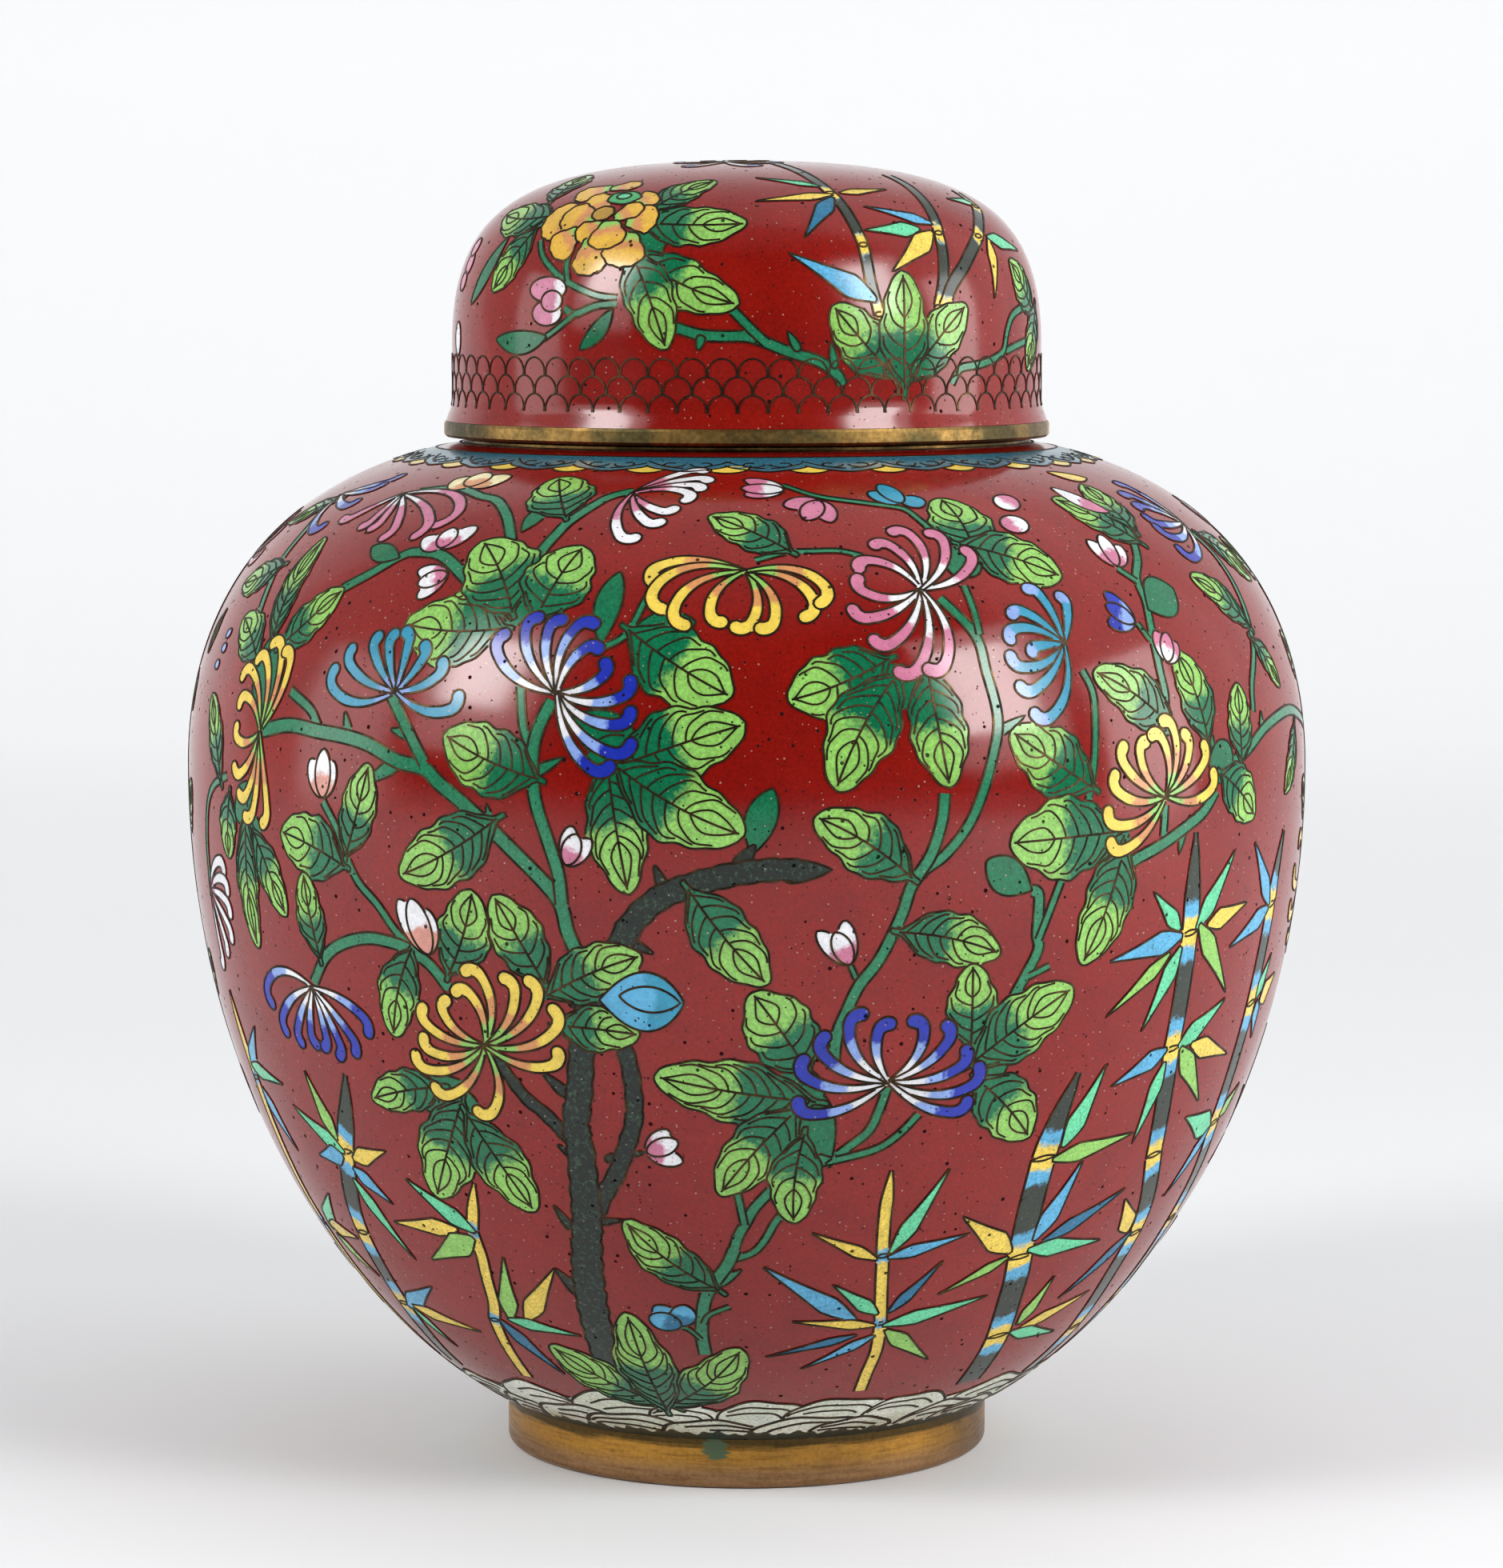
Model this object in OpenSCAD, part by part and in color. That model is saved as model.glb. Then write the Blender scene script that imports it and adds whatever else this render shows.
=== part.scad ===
// Lidded cloisonne ginger jar: a round copper body in two halves on a brass foot,
// enamelled inside and out, with a low neck and a domed lid that drops over the neck.
// The origin is at the middle of the foot's underside, and Z runs up through the lid.

/* [Body] */
// Radius of the enamelled body at its widest
belly_r = 87.1; // [84:0.1:90]
// Height of the widest level, where the two copper halves meet
belly_z = 107.3; // [104:0.1:111]
// Height of the shoulder where the outer enamel ends at the neck
shoulder_z = 157.7; // [156:0.1:158]
// Thickness of the outer enamel
enamel_t = 1.0; // [0.8:0.05:1.2]
// Thickness of the copper
copper_t = 1.2; // [0.8:0.05:1.4]
// Thickness of the enamel inside
lining_t = 0.6; // [0.4:0.05:0.8]

/* [Foot] */
// Outer radius of the brass foot ring
foot_r = 37.8; // [36.5:0.1:39]
// Height of the body's lowest enamel above the table, at the axis side of the ring
foot_h = 6.0; // [5.5:0.1:7]
// Wall of the foot ring
foot_wall = 3.0; // [2:0.1:3.5]
// Height up to which the rock border covers the body
rock_z = 17.8; // [14:0.1:20]

/* [Neck] */
// Outer radius of the upright neck inside the lid
neck_r = 41.6; // [40.5:0.1:41.8]
// Wall of the neck
neck_wall = 1.2; // [0.8:0.1:1.6]
// Height of the mouth above the table
mouth_z = 170.0; // [166:0.5:176]
// Outer and inner radius of the cloud border round the shoulder
border_out_r = 54.6; // [50:0.1:56]
border_in_r = 47.6; // [45:0.1:49]
// Number of cloud lappets round the shoulder
lappets = 28; // [20:1:30]

/* [Lid] */
// Outer radius of the lid's enamelled wall
lid_wall_r = 45.8; // [45.6:0.1:46.4]
// Height of the level where the wall turns into the dome
lid_wall_z = 172.8; // [172:0.1:175]
// Height of the top of the lid
lid_top_z = 201.0; // [196:0.1:206]
// Outer radius of the brass rim
rim_r = 47.1; // [46.9:0.1:48]
// Height of the underside of the rim when the lid is on
rim_z = 158.5; // [158.45:0.05:159]
// Height of the rim's band
rim_h = 2.4; // [2:0.1:3]
// Number of scales in each row round the lid's wall
scales = 64; // [48:2:66]
// Number of rows of scales
scale_rows = 3; // [1:1:3]

/* [Wire] */
// Width of a cloison wire, seen from above
wire_w = 0.35; // [0.2:0.05:0.5]
// How far a wire stands above the enamel
wire_proud = 0.05; // [0.02:0.01:0.1]

/* [Hidden] */
round_steps = 144;

// Depths below the outer surface of the enamel
copper_out = enamel_t;
copper_in = enamel_t + copper_t;
lining_in = copper_in + lining_t;

// Body outline as (radius, height): foot to belly, then belly to shoulder
lower_curve = [
    [foot_r - 3.95, foot_h],
    [foot_r + 15.6, foot_h + 7.1],
    [belly_r, belly_z - 60.2],
    [belly_r, belly_z]
];
shoulder_r = 44.0;
upper_curve = [
    [belly_r, belly_z],
    [belly_r, belly_z + 10.6],
    [belly_r - 1.9, shoulder_z - 7.3],
    [shoulder_r, shoulder_z]
];
// Lid outline from the top of its wall to the middle of its dome
dome_curve = [
    [lid_wall_r, lid_wall_z],
    [lid_wall_r, lid_wall_z + 0.79 * (lid_top_z - lid_wall_z)],
    [0.73 * lid_wall_r, lid_top_z],
    [0, lid_top_z]
];

// Foot and base
foot_in_r = foot_r - foot_wall;
ledge_r = lower_curve[0][0] - 0.4;
ledge_z = 4.7;
base_enamel_t = 0.7;
plate_z = ledge_z + base_enamel_t;
foot_round = 1.2;
foot_edge = 0.5;

// Neck and seat
neck_foot_z = shoulder_z - 3.5;
mouth_rim_h = 1.5;
mouth_rim_over = 0.4;
mouth_round = 0.4;
seat_z = rim_z - 0.1;
seat_round = 0.3;

// Lid
rim_top_z = rim_z + rim_h;
rim_in_r = neck_r + 1.0;
rim_round = 0.4;
flare_r = rim_r - 0.3;
flare_top_z = rim_top_z + 2.3;
scale_h = 2.7;
scale_top_z = flare_top_z + 8.0;

// Wires reach this far into the enamel
wire_deep = 0.6;
wire_tall = wire_deep + wire_proud;

function mix(a, b, t) = a + (b - a) * t;
function flip(points) = [for (i = [len(points) - 1:-1:0]) points[i]];

// Point and direction on a cubic curve
function bez(p, t) =
    pow(1 - t, 3) * p[0] + 3 * pow(1 - t, 2) * t * p[1] + 3 * (1 - t) * t * t * p[2] + pow(t, 3) * p[3];
function bez_dir(p, t) =
    pow(1 - t, 2) * (p[1] - p[0]) + 2 * (1 - t) * t * (p[2] - p[1]) + t * t * (p[3] - p[2]);

// The outlines run upwards or inwards, so outward lies to the right of the direction
function outward(v) = [v[1], -v[0]] / norm(v);
function inset(p, t, depth) = bez(p, t) - depth * outward(bez_dir(p, t));
function inset_run(p, ts, depth) = [for (t = ts) inset(p, t, depth)];

// Section of one layer of the wall between two depths
function layer(p, ts, out_depth, in_depth) =
    concat(inset_run(p, ts, out_depth), flip(inset_run(p, ts, in_depth)));

// Where a curve reaches a radius (axis 0) or a height (axis 1), by halving
function t_at(p, axis, value, rising, lo = 0, hi = 1, turns = 24) =
    let (mid = (lo + hi) / 2, above = bez(p, mid)[axis] > value)
    turns == 0 ? mid
    : (above == rising) ? t_at(p, axis, value, rising, lo, mid, turns - 1)
    : t_at(p, axis, value, rising, mid, hi, turns - 1);

// Every layer shares these steps, so neighbouring layers meet face to face
function steps(a, b, n) = [for (i = [0:n]) mix(a, b, i / n)];
function without_last(list) = [for (i = [0:len(list) - 2]) list[i]];
foot_t = t_at(lower_curve, 0, foot_r, true);
rock_t = t_at(lower_curve, 1, rock_z, true);
border_out_t = t_at(upper_curve, 0, border_out_r, false);
border_in_t = t_at(upper_curve, 0, border_in_r, false);
under_foot = steps(0, foot_t, 3);
rock_steps = steps(foot_t, rock_t, 4);
lower_red = steps(rock_t, 1, 28);
upper_red = steps(0, border_out_t, 22);
border_steps = steps(border_out_t, border_in_t, 5);
neck_steps = steps(border_in_t, 1, 2);
lower_steps = concat(without_last(under_foot), without_last(rock_steps), lower_red);
upper_steps = concat(without_last(upper_red), without_last(border_steps), neck_steps);
dome_steps = steps(0, 1, 26);

module turned(section) {
    rotate_extrude($fn = round_steps) polygon(section);
}

// Foot ring with a rounded lower edge, cut above to the curve of the copper
module foot_ring() {
    color([0.55, 0.38, 0.18]) turned(concat(
        [[foot_in_r + foot_edge, 0]],
        [for (a = [-90:15:0]) [
            foot_r - foot_round + foot_round * cos(a),
            foot_round + foot_round * sin(a)
        ]],
        [bez(lower_curve, foot_t)],
        flip(inset_run(lower_curve, under_foot, copper_out)),
        [[ledge_r, inset(lower_curve, 0, copper_out)[1]], [ledge_r, ledge_z]],
        [[foot_in_r, ledge_z - 0.3], [foot_in_r, foot_edge]]
    ));
}

// Copper disc that closes the bottom, inside the foot ring
module base_plate() {
    color([0.66, 0.38, 0.24])
        translate([0, 0, plate_z])
            cylinder(h = inset(lower_curve, 0, copper_out)[1] - plate_z, r = ledge_r, $fn = round_steps);
}

// Turquoise enamel under the base plate
module base_enamel() {
    color([0.25, 0.62, 0.66])
        translate([0, 0, ledge_z])
            cylinder(h = base_enamel_t, r = ledge_r, $fn = round_steps);
}

// Enamel on the inside of the bottom, run up into the corner
module floor_lining() {
    low = inset(lower_curve, 0, copper_out);
    color([0.25, 0.62, 0.66]) turned([
        [0, low[1]],
        [ledge_r, low[1]],
        low,
        inset(lower_curve, 0, copper_in),
        inset(lower_curve, 0, lining_in),
        [low[0] - 3, low[1] + lining_t],
        [0, low[1] + lining_t]
    ]);
}

module lower_shell() {
    color([0.66, 0.38, 0.24]) turned(layer(lower_curve, lower_steps, copper_out, copper_in));
}

module upper_shell() {
    color([0.66, 0.38, 0.24]) turned(layer(upper_curve, upper_steps, copper_out, copper_in));
}

module lower_lining() {
    color([0.25, 0.62, 0.66]) turned(layer(lower_curve, lower_steps, copper_in, lining_in));
}

module upper_lining() {
    color([0.25, 0.62, 0.66]) turned(layer(upper_curve, upper_steps, copper_in, lining_in));
}

// Upright neck that guides the lid
module neck_collar() {
    color([0.60, 0.46, 0.24])
        translate([0, 0, neck_foot_z])
            difference() {
                cylinder(h = mouth_z - mouth_rim_h - neck_foot_z, r = neck_r, $fn = round_steps);
                translate([0, 0, -1])
                    cylinder(h = mouth_z, r = neck_r - neck_wall, $fn = round_steps);
            }
}

// Rounded bead along the top of the neck
module mouth_rim() {
    out_r = neck_r + mouth_rim_over;
    in_r = neck_r - neck_wall - 0.2;
    color([0.62, 0.48, 0.25]) turned([
        [in_r, mouth_z - mouth_rim_h],
        [out_r, mouth_z - mouth_rim_h],
        [out_r, mouth_z - mouth_round],
        [out_r - mouth_round, mouth_z],
        [in_r + mouth_round, mouth_z],
        [in_r, mouth_z - mouth_round]
    ]);
}

// Ring soldered round the root of the neck, on which the lid's rim rests
module seat_ring() {
    color([0.60, 0.46, 0.24]) turned([
        [neck_r, neck_foot_z],
        [inset(upper_curve, 1, lining_in)[0], neck_foot_z],
        inset(upper_curve, 1, lining_in),
        inset(upper_curve, 1, copper_in),
        inset(upper_curve, 1, copper_out),
        [shoulder_r, shoulder_z],
        [shoulder_r, seat_z - seat_round],
        [shoulder_r - seat_round, seat_z],
        [neck_r, seat_z]
    ]);
}

// Outer enamel in its bands, from the foot up
module rock_band() {
    color([0.74, 0.80, 0.76]) turned(layer(lower_curve, rock_steps, 0, copper_out));
}

module red_ground() {
    color([0.56, 0.08, 0.07]) turned(concat(
        inset_run(lower_curve, without_last(lower_red), 0),
        inset_run(upper_curve, upper_red, 0),
        flip(inset_run(upper_curve, upper_red, copper_out)),
        flip(inset_run(lower_curve, without_last(lower_red), copper_out))
    ));
}

module cloud_border() {
    color([0.16, 0.43, 0.53]) turned(layer(upper_curve, border_steps, 0, copper_out));
}

module neck_band() {
    color([0.45, 0.06, 0.05]) turned(layer(upper_curve, neck_steps, 0, copper_out));
}

// A part of a ring of wire, lying in the X-Y plane, centred on +X turned by middle
module wire_arc(radius, sweep, middle) {
    rotate([0, 0, middle - sweep / 2])
        rotate_extrude(angle = sweep, $fn = round_steps)
            translate([radius - wire_w / 2, -wire_deep])
                square([wire_w, wire_tall]);
}

// Two rings of wire that bound the cloud border
module border_rings() {
    color([0.35, 0.29, 0.20])
        for (t = [border_out_t, border_in_t]) {
            at = bez(upper_curve, t);
            turned([
                at + [-wire_w / 2, -wire_deep],
                at + [wire_w / 2, -wire_deep],
                at + [wire_w / 2, wire_proud],
                at + [-wire_w / 2, wire_proud]
            ]);
        }
}

// Puts its children on the shoulder at a radius, with +Y down the slope
module on_shoulder(radius, turn) {
    t = t_at(upper_curve, 0, radius, false);
    at = bez(upper_curve, t);
    dir = bez_dir(upper_curve, t);
    rotate([0, 0, turn])
        translate([0, at[0], at[1]])
            rotate([-atan2(dir[1], -dir[0]), 0, 0])
                children();
}

// Each lappet is a round head between two smaller shoulders
module cloud_cloisons() {
    pitch = 360 / lappets;
    mid_r = mix(border_in_r, border_out_r, 0.55);
    side_r = mix(border_in_r, border_out_r, 0.32);
    color([0.35, 0.29, 0.20])
        for (i = [0:lappets - 1]) {
            on_shoulder(mid_r, i * pitch) wire_arc(2.0, 200, 90);
            for (side = [-1, 1])
                on_shoulder(side_r, (i + side * 0.3) * pitch) wire_arc(1.2, 150, 90 - side * 60);
        }
}

// Lid: copper dome with an upright wall
module lid_shell() {
    color([0.66, 0.38, 0.24]) turned(concat(
        [[lid_wall_r - copper_in, rim_top_z], [lid_wall_r - copper_out, rim_top_z]],
        layer(dome_curve, dome_steps, copper_out, copper_in)
    ));
}

// Brass rim under the wall; it rests on the seat ring and slides over the neck
module lid_rim() {
    color([0.60, 0.46, 0.24]) turned([
        [rim_in_r + rim_round, rim_z],
        [rim_r - rim_round, rim_z],
        [rim_r, rim_z + rim_round],
        [rim_r, rim_top_z - rim_round],
        [rim_r - rim_round / 2, rim_top_z],
        [rim_in_r, rim_top_z],
        [rim_in_r, rim_z + rim_round]
    ]);
}

module lid_lining() {
    color([0.25, 0.62, 0.66]) turned(concat(
        [[lid_wall_r - lining_in, rim_top_z], [lid_wall_r - copper_in, rim_top_z]],
        layer(dome_curve, dome_steps, copper_in, lining_in)
    ));
}

// Plain strip that flares out to meet the rim
module lid_foot_band() {
    flare = [
        [flare_r, rim_top_z],
        [flare_r, mix(rim_top_z, flare_top_z, 0.4)],
        [lid_wall_r, mix(rim_top_z, flare_top_z, 0.6)],
        [lid_wall_r, flare_top_z]
    ];
    color([0.50, 0.07, 0.06]) turned(concat(
        inset_run(flare, steps(0, 1, 8), 0),
        [[lid_wall_r - copper_out, flare_top_z], [lid_wall_r - copper_out, rim_top_z]]
    ));
}

module lid_scale_band() {
    color([0.50, 0.07, 0.06]) turned([
        [lid_wall_r - copper_out, flare_top_z],
        [lid_wall_r, flare_top_z],
        [lid_wall_r, scale_top_z],
        [lid_wall_r - copper_out, scale_top_z]
    ]);
}

module lid_dome_ground() {
    color([0.56, 0.08, 0.07]) turned(concat(
        [[lid_wall_r - copper_out, scale_top_z], [lid_wall_r, scale_top_z]],
        layer(dome_curve, dome_steps, 0, copper_out)
    ));
}

// Rows of arched scales, each row half a scale round from the last
module scale_cloisons() {
    pitch = 360 / scales;
    arch_r = PI * lid_wall_r / scales - wire_w;
    color([0.35, 0.29, 0.20])
        for (row = [0:scale_rows - 1], i = [0:scales - 1])
            rotate([0, 0, (i + row / 2) * pitch])
                translate([0, lid_wall_r, scale_top_z - scale_h * (row + 1)])
                    rotate([-90, 0, 0])
                        wire_arc(arch_r, 170, -90);
}

foot_ring();
base_plate();
base_enamel();
floor_lining();
lower_shell();
upper_shell();
lower_lining();
upper_lining();
neck_collar();
mouth_rim();
seat_ring();
rock_band();
red_ground();
cloud_border();
neck_band();
border_rings();
cloud_cloisons();
lid_shell();
lid_rim();
lid_lining();
lid_foot_band();
lid_scale_band();
lid_dome_ground();
scale_cloisons();
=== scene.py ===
import math
import random

import bpy
import numpy as np
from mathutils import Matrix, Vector
from mathutils.geometry import delaunay_2d_cdt


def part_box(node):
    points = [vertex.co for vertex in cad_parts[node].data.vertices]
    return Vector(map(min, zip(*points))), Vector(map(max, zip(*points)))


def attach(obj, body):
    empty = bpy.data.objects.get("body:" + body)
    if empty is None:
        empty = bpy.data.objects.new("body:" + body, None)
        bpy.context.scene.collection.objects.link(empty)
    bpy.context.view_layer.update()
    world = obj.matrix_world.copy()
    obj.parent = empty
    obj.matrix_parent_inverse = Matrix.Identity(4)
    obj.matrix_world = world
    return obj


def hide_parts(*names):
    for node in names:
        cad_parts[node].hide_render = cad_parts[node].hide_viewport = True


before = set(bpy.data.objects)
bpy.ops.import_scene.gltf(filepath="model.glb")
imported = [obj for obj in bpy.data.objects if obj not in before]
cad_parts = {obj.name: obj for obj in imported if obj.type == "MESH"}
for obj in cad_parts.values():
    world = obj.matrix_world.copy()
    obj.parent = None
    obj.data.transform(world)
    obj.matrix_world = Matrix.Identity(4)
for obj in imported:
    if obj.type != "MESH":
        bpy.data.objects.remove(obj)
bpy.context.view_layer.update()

# Lengths below are in millimetres until a mesh is made.
MM = 0.001
# Width of a wire, how far cells and wires stand above the ground, and how deep both reach into it
WIRE_W = 0.32
FINE_WIRE = WIRE_W * 0.85
CELL_LIFT = 0.04
WIRE_LIFT = 0.11
CELL_DEEP = 0.25
# Thickness of the red ground
GROUND_DEEP = 0.9
# Spacing of points along a cell's edge, along a wire and inside a cell, and the inner points' margin
CELL_GAP, WIRE_GAP, GRID_GAP, GRID_EDGE = 0.8, 0.65, 1.25, 0.6
# A colour that would begin past the end of its cell, and so is not seen
NO_CUT = 99.0
PLAIN = (NO_CUT, NO_CUT)


def side(node, corner, axis):
    """One coordinate of a CAD node's box, in millimetres."""
    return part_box(node)[corner][axis] / MM


# ---------------------------------------------------------------- outlines

def bezier(points, steps):
    """Points on a cubic curve, as rows of (radius, height)."""
    p = np.array(points, float)
    t = np.linspace(0, 1, steps)[:, None]
    return ((1 - t) ** 3 * p[0] + 3 * (1 - t) ** 2 * t * p[1] + 3 * (1 - t) * t * t * p[2]
            + t ** 3 * p[3])


class Skin:
    """A surface of revolution: az is the angle from the front towards +X, s the length up the outline."""

    def __init__(self, outline):
        gaps = np.hypot(*np.diff(outline, axis=0).T)
        outline = outline[np.append(True, gaps > 1e-6)]
        self.s = np.append(0, np.cumsum(np.hypot(*np.diff(outline, axis=0).T)))
        self.r, self.z = outline.T
        slope = np.gradient(outline, self.s, axis=0)
        slope /= np.hypot(*slope.T)[:, None]
        self.nr, self.nz = slope[:, 1], -slope[:, 0]
        self.length = self.s[-1]

    def radius(self, s):
        return np.interp(s, self.s, self.r)

    def normal(self, az, s):
        a = np.radians(az)
        nr = np.interp(s, self.s, self.nr)
        return np.stack([nr * np.sin(a), -nr * np.cos(a), np.interp(s, self.s, self.nz)], -1)

    def place(self, az, s, lift):
        a = np.radians(az)
        r = np.interp(s, self.s, self.r)
        z = np.interp(s, self.s, self.z)
        on = np.stack([r * np.sin(a), -r * np.cos(a), z], -1)
        return (on + self.normal(az, s) * lift) * MM

    def s_at_height(self, z):
        return float(np.interp(z, self.z, self.s))


foot_r = side("foot_ring", 1, 0)
belly_r = side("red_ground", 1, 0)
belly_z = side("lower_shell", 1, 2)
shoulder_r, shoulder_z = 44.0, 157.7
hidden_rows = 40  # of the lower curve, inside the foot ring
lower = bezier([(foot_r - 3.95, 6), (foot_r + 15.6, 13.1), (belly_r, belly_z - 60.2),
                (belly_r, belly_z)], 601)
upper = bezier([(belly_r, belly_z), (belly_r, belly_z + 10.6), (belly_r - 1.9, shoulder_z - 7.3),
                (shoulder_r, shoulder_z)], 400)
body_skin = Skin(np.vstack([lower[hidden_rows:], upper]))

wall_r = side("lid_scale_band", 1, 0)
wall_z = 172.8
top_z = side("lid_dome_ground", 1, 2)
rim_top = side("lid_rim", 1, 2)
flare = bezier([(wall_r + 1, rim_top), (wall_r + 0.8, rim_top + 1), (wall_r, rim_top + 2.1),
                (wall_r, rim_top + 3.5)], 30)
dome = bezier([(wall_r, wall_z), (wall_r, wall_z + 0.79 * (top_z - wall_z)), (0.72 * wall_r, top_z),
               (0, top_z)], 400)
straight = np.linspace(flare[-1], dome[0], 12)
lid_skin = Skin(np.vstack([flare, straight[1:-1], dome]))


# ---------------------------------------------------------------- drawing on a skin

def inside(points, polygon):
    """Which points lie inside a polygon; both are rows of two numbers."""
    x, y = points[:, 0][:, None], points[:, 1][:, None]
    x0, y0 = polygon[:, 0][None], polygon[:, 1][None]
    x1, y1 = np.roll(polygon[:, 0], -1)[None], np.roll(polygon[:, 1], -1)[None]
    spans = (y0 > y) != (y1 > y)
    with np.errstate(divide="ignore", invalid="ignore"):
        crossing = x0 + (y - y0) * (x1 - x0) / (y1 - y0)
    return (np.count_nonzero(spans & (x < crossing), axis=1) % 2) == 1


def resample(points, gap, closed=False):
    """The same line with points about gap apart."""
    points = np.asarray(points, float)
    if closed:
        points = np.vstack([points, points[:1]])
    s = np.append(0, np.cumsum(np.hypot(*np.diff(points, axis=0).T)))
    count = max(3, int(round(s[-1] / gap))) + 1
    at = np.linspace(0, s[-1], count)
    line = np.stack([np.interp(at, s, points[:, 0]), np.interp(at, s, points[:, 1])], -1)
    return line[:-1] if closed else line


def smooth_line(points, gap=0.7):
    """A Catmull-Rom curve through the points."""
    p = np.asarray(points, float)
    if len(p) < 3:
        return resample(p, gap)
    ends = np.vstack([2 * p[0] - p[1], p, 2 * p[-1] - p[-2]])
    t = np.linspace(0, 1, 13)[:-1][:, None]
    runs = []
    for a, b, c, d in zip(ends, ends[1:], ends[2:], ends[3:]):
        runs.append(0.5 * (2 * b + (c - a) * t + (2 * a - 5 * b + 4 * c - d) * t ** 2
                           + (3 * b - a - 3 * c + d) * t ** 3))
    return resample(np.vstack(runs + [p[-1:]]), gap)


def normals_of(line):
    """Left-hand unit normals along a line."""
    d = np.gradient(line, axis=0)
    d /= np.maximum(np.hypot(*d.T), 1e-9)[:, None]
    return np.stack([-d[:, 1], d[:, 0]], -1)


class Sheet:
    """Everything that is drawn on one skin. A later cell hides what lies under it."""

    def __init__(self, skin):
        self.skin = skin
        self.cells = []
        self.wires = []

    def to_local(self, at, points):
        """Places on the skin as millimetres to the right of and above the place at."""
        points = np.atleast_2d(np.asarray(points, float))
        x = np.radians(points[:, 0] - at[0]) * self.skin.radius(points[:, 1])
        return np.stack([x, points[:, 1] - at[1]], -1)

    def to_skin(self, at, xy):
        """The way back from to_local."""
        xy = np.atleast_2d(np.asarray(xy, float))
        s = at[1] + xy[:, 1]
        r = np.maximum(self.skin.radius(s), 1.0)
        return np.stack([at[0] + np.degrees(xy[:, 0] / r), s], -1)

    def cell(self, at, outline, spine, inks, cuts=PLAIN, kind="green"):
        """A filled outline; its inks follow each other along the spine and change at the cuts."""
        poly = self.to_skin(at, resample(outline, CELL_GAP, closed=True))
        mean_r = max(float(self.skin.radius(poly[:, 1].mean())), 4.0)
        self.cells.append({
            "poly": poly, "low": poly.min(0), "high": poly.max(0),
            "grow": np.array([math.radians(1) * mean_r, 1.0]), "spine": self.to_skin(at, spine),
            "inks": (list(inks) + [inks[-1]] * 2)[:3], "cuts": cuts, "kind": kind})

    def wire(self, at, line, closed=False, width=WIRE_W):
        """A wire along a line; only cells drawn after it can hide it."""
        line = resample(line, WIRE_GAP, closed)
        if closed:
            line = np.vstack([line, line[:1]])
        self.wires.append((self.to_skin(at, line), len(self.cells), width))


class Batch:
    """Vertices and faces gathered for one Blender piece."""

    def __init__(self):
        self.verts = []
        self.faces = []
        self.normals = []
        self.inks = [[], [], []]
        self.marks = []
        self.count = 0

    def add(self, verts, faces, normals=None, inks=None, marks=None):
        self.verts.append(verts)
        self.faces.extend([[i + self.count for i in f] for f in faces])
        self.count += len(verts)
        if normals is not None:
            self.normals.append(normals)
        if inks is not None:
            for store, ink in zip(self.inks, inks):
                store.append(np.tile(np.append(ink, 1.0), (len(verts), 1)))
            self.marks.append(marks)


def make_piece(name, batch, material, body, smooth=False):
    """Turns a batch into an object that rides on a body of the CAD."""
    mesh = bpy.data.meshes.new(name)
    mesh.from_pydata(np.vstack(batch.verts).tolist(), [], batch.faces)
    if batch.marks:
        for i, store in enumerate(batch.inks):
            layer = mesh.attributes.new(f"ink{i}", "FLOAT_COLOR", "POINT")
            layer.data.foreach_set("color", np.vstack(store).astype(np.float32).ravel())
        layer = mesh.attributes.new("marks", "FLOAT_VECTOR", "POINT")
        layer.data.foreach_set("vector", np.vstack(batch.marks).astype(np.float32).ravel())
    mesh.polygons.foreach_set("use_smooth", [smooth or bool(batch.normals)] * len(mesh.polygons))
    mesh.update()
    if batch.normals:
        mesh.normals_split_custom_set_from_vertices(np.vstack(batch.normals).tolist())
    mesh.materials.append(material)
    piece = bpy.data.objects.new(name, mesh)
    bpy.context.scene.collection.objects.link(piece)
    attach(piece, body)
    return piece


def cut_cell(cell, covers):
    """Triangles of a cell without what later cells cover, in (az, s), turning anticlockwise."""
    at = cell["poly"].mean(0)
    grow = cell["grow"]
    own = (cell["poly"] - at) * grow
    low, high = own.min(0), own.max(0)
    xs = np.arange(low[0] + GRID_EDGE, high[0], GRID_GAP)
    ys = np.arange(low[1] + GRID_EDGE, high[1], GRID_GAP)
    grid = np.stack(np.meshgrid(xs, ys), -1).reshape(-1, 2)
    if len(grid):
        grid = grid[inside(grid, own)]
    coords = list(map(tuple, own))
    loops = [list(range(len(own)))]
    for other in covers:
        ring = (other["poly"] - at) * grow
        loops.append(list(range(len(coords), len(coords) + len(ring))))
        coords += list(map(tuple, ring))
    for i, loop in enumerate(loops):
        pts = np.array([coords[j] for j in loop])
        x, y = pts.T
        if np.sum(x * np.roll(y, -1) - np.roll(x, -1) * y) < 0:
            loops[i] = loop[::-1]
    coords += list(map(tuple, grid))
    verts, _, faces, _, _, sources = delaunay_2d_cdt(coords, [], loops, 1, 1e-5, True)
    keep = [f for f, src in zip(faces, sources) if 0 in src and len(src) == 1]
    flat = np.array([tuple(v) for v in verts])
    return flat / grow + at, keep


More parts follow.
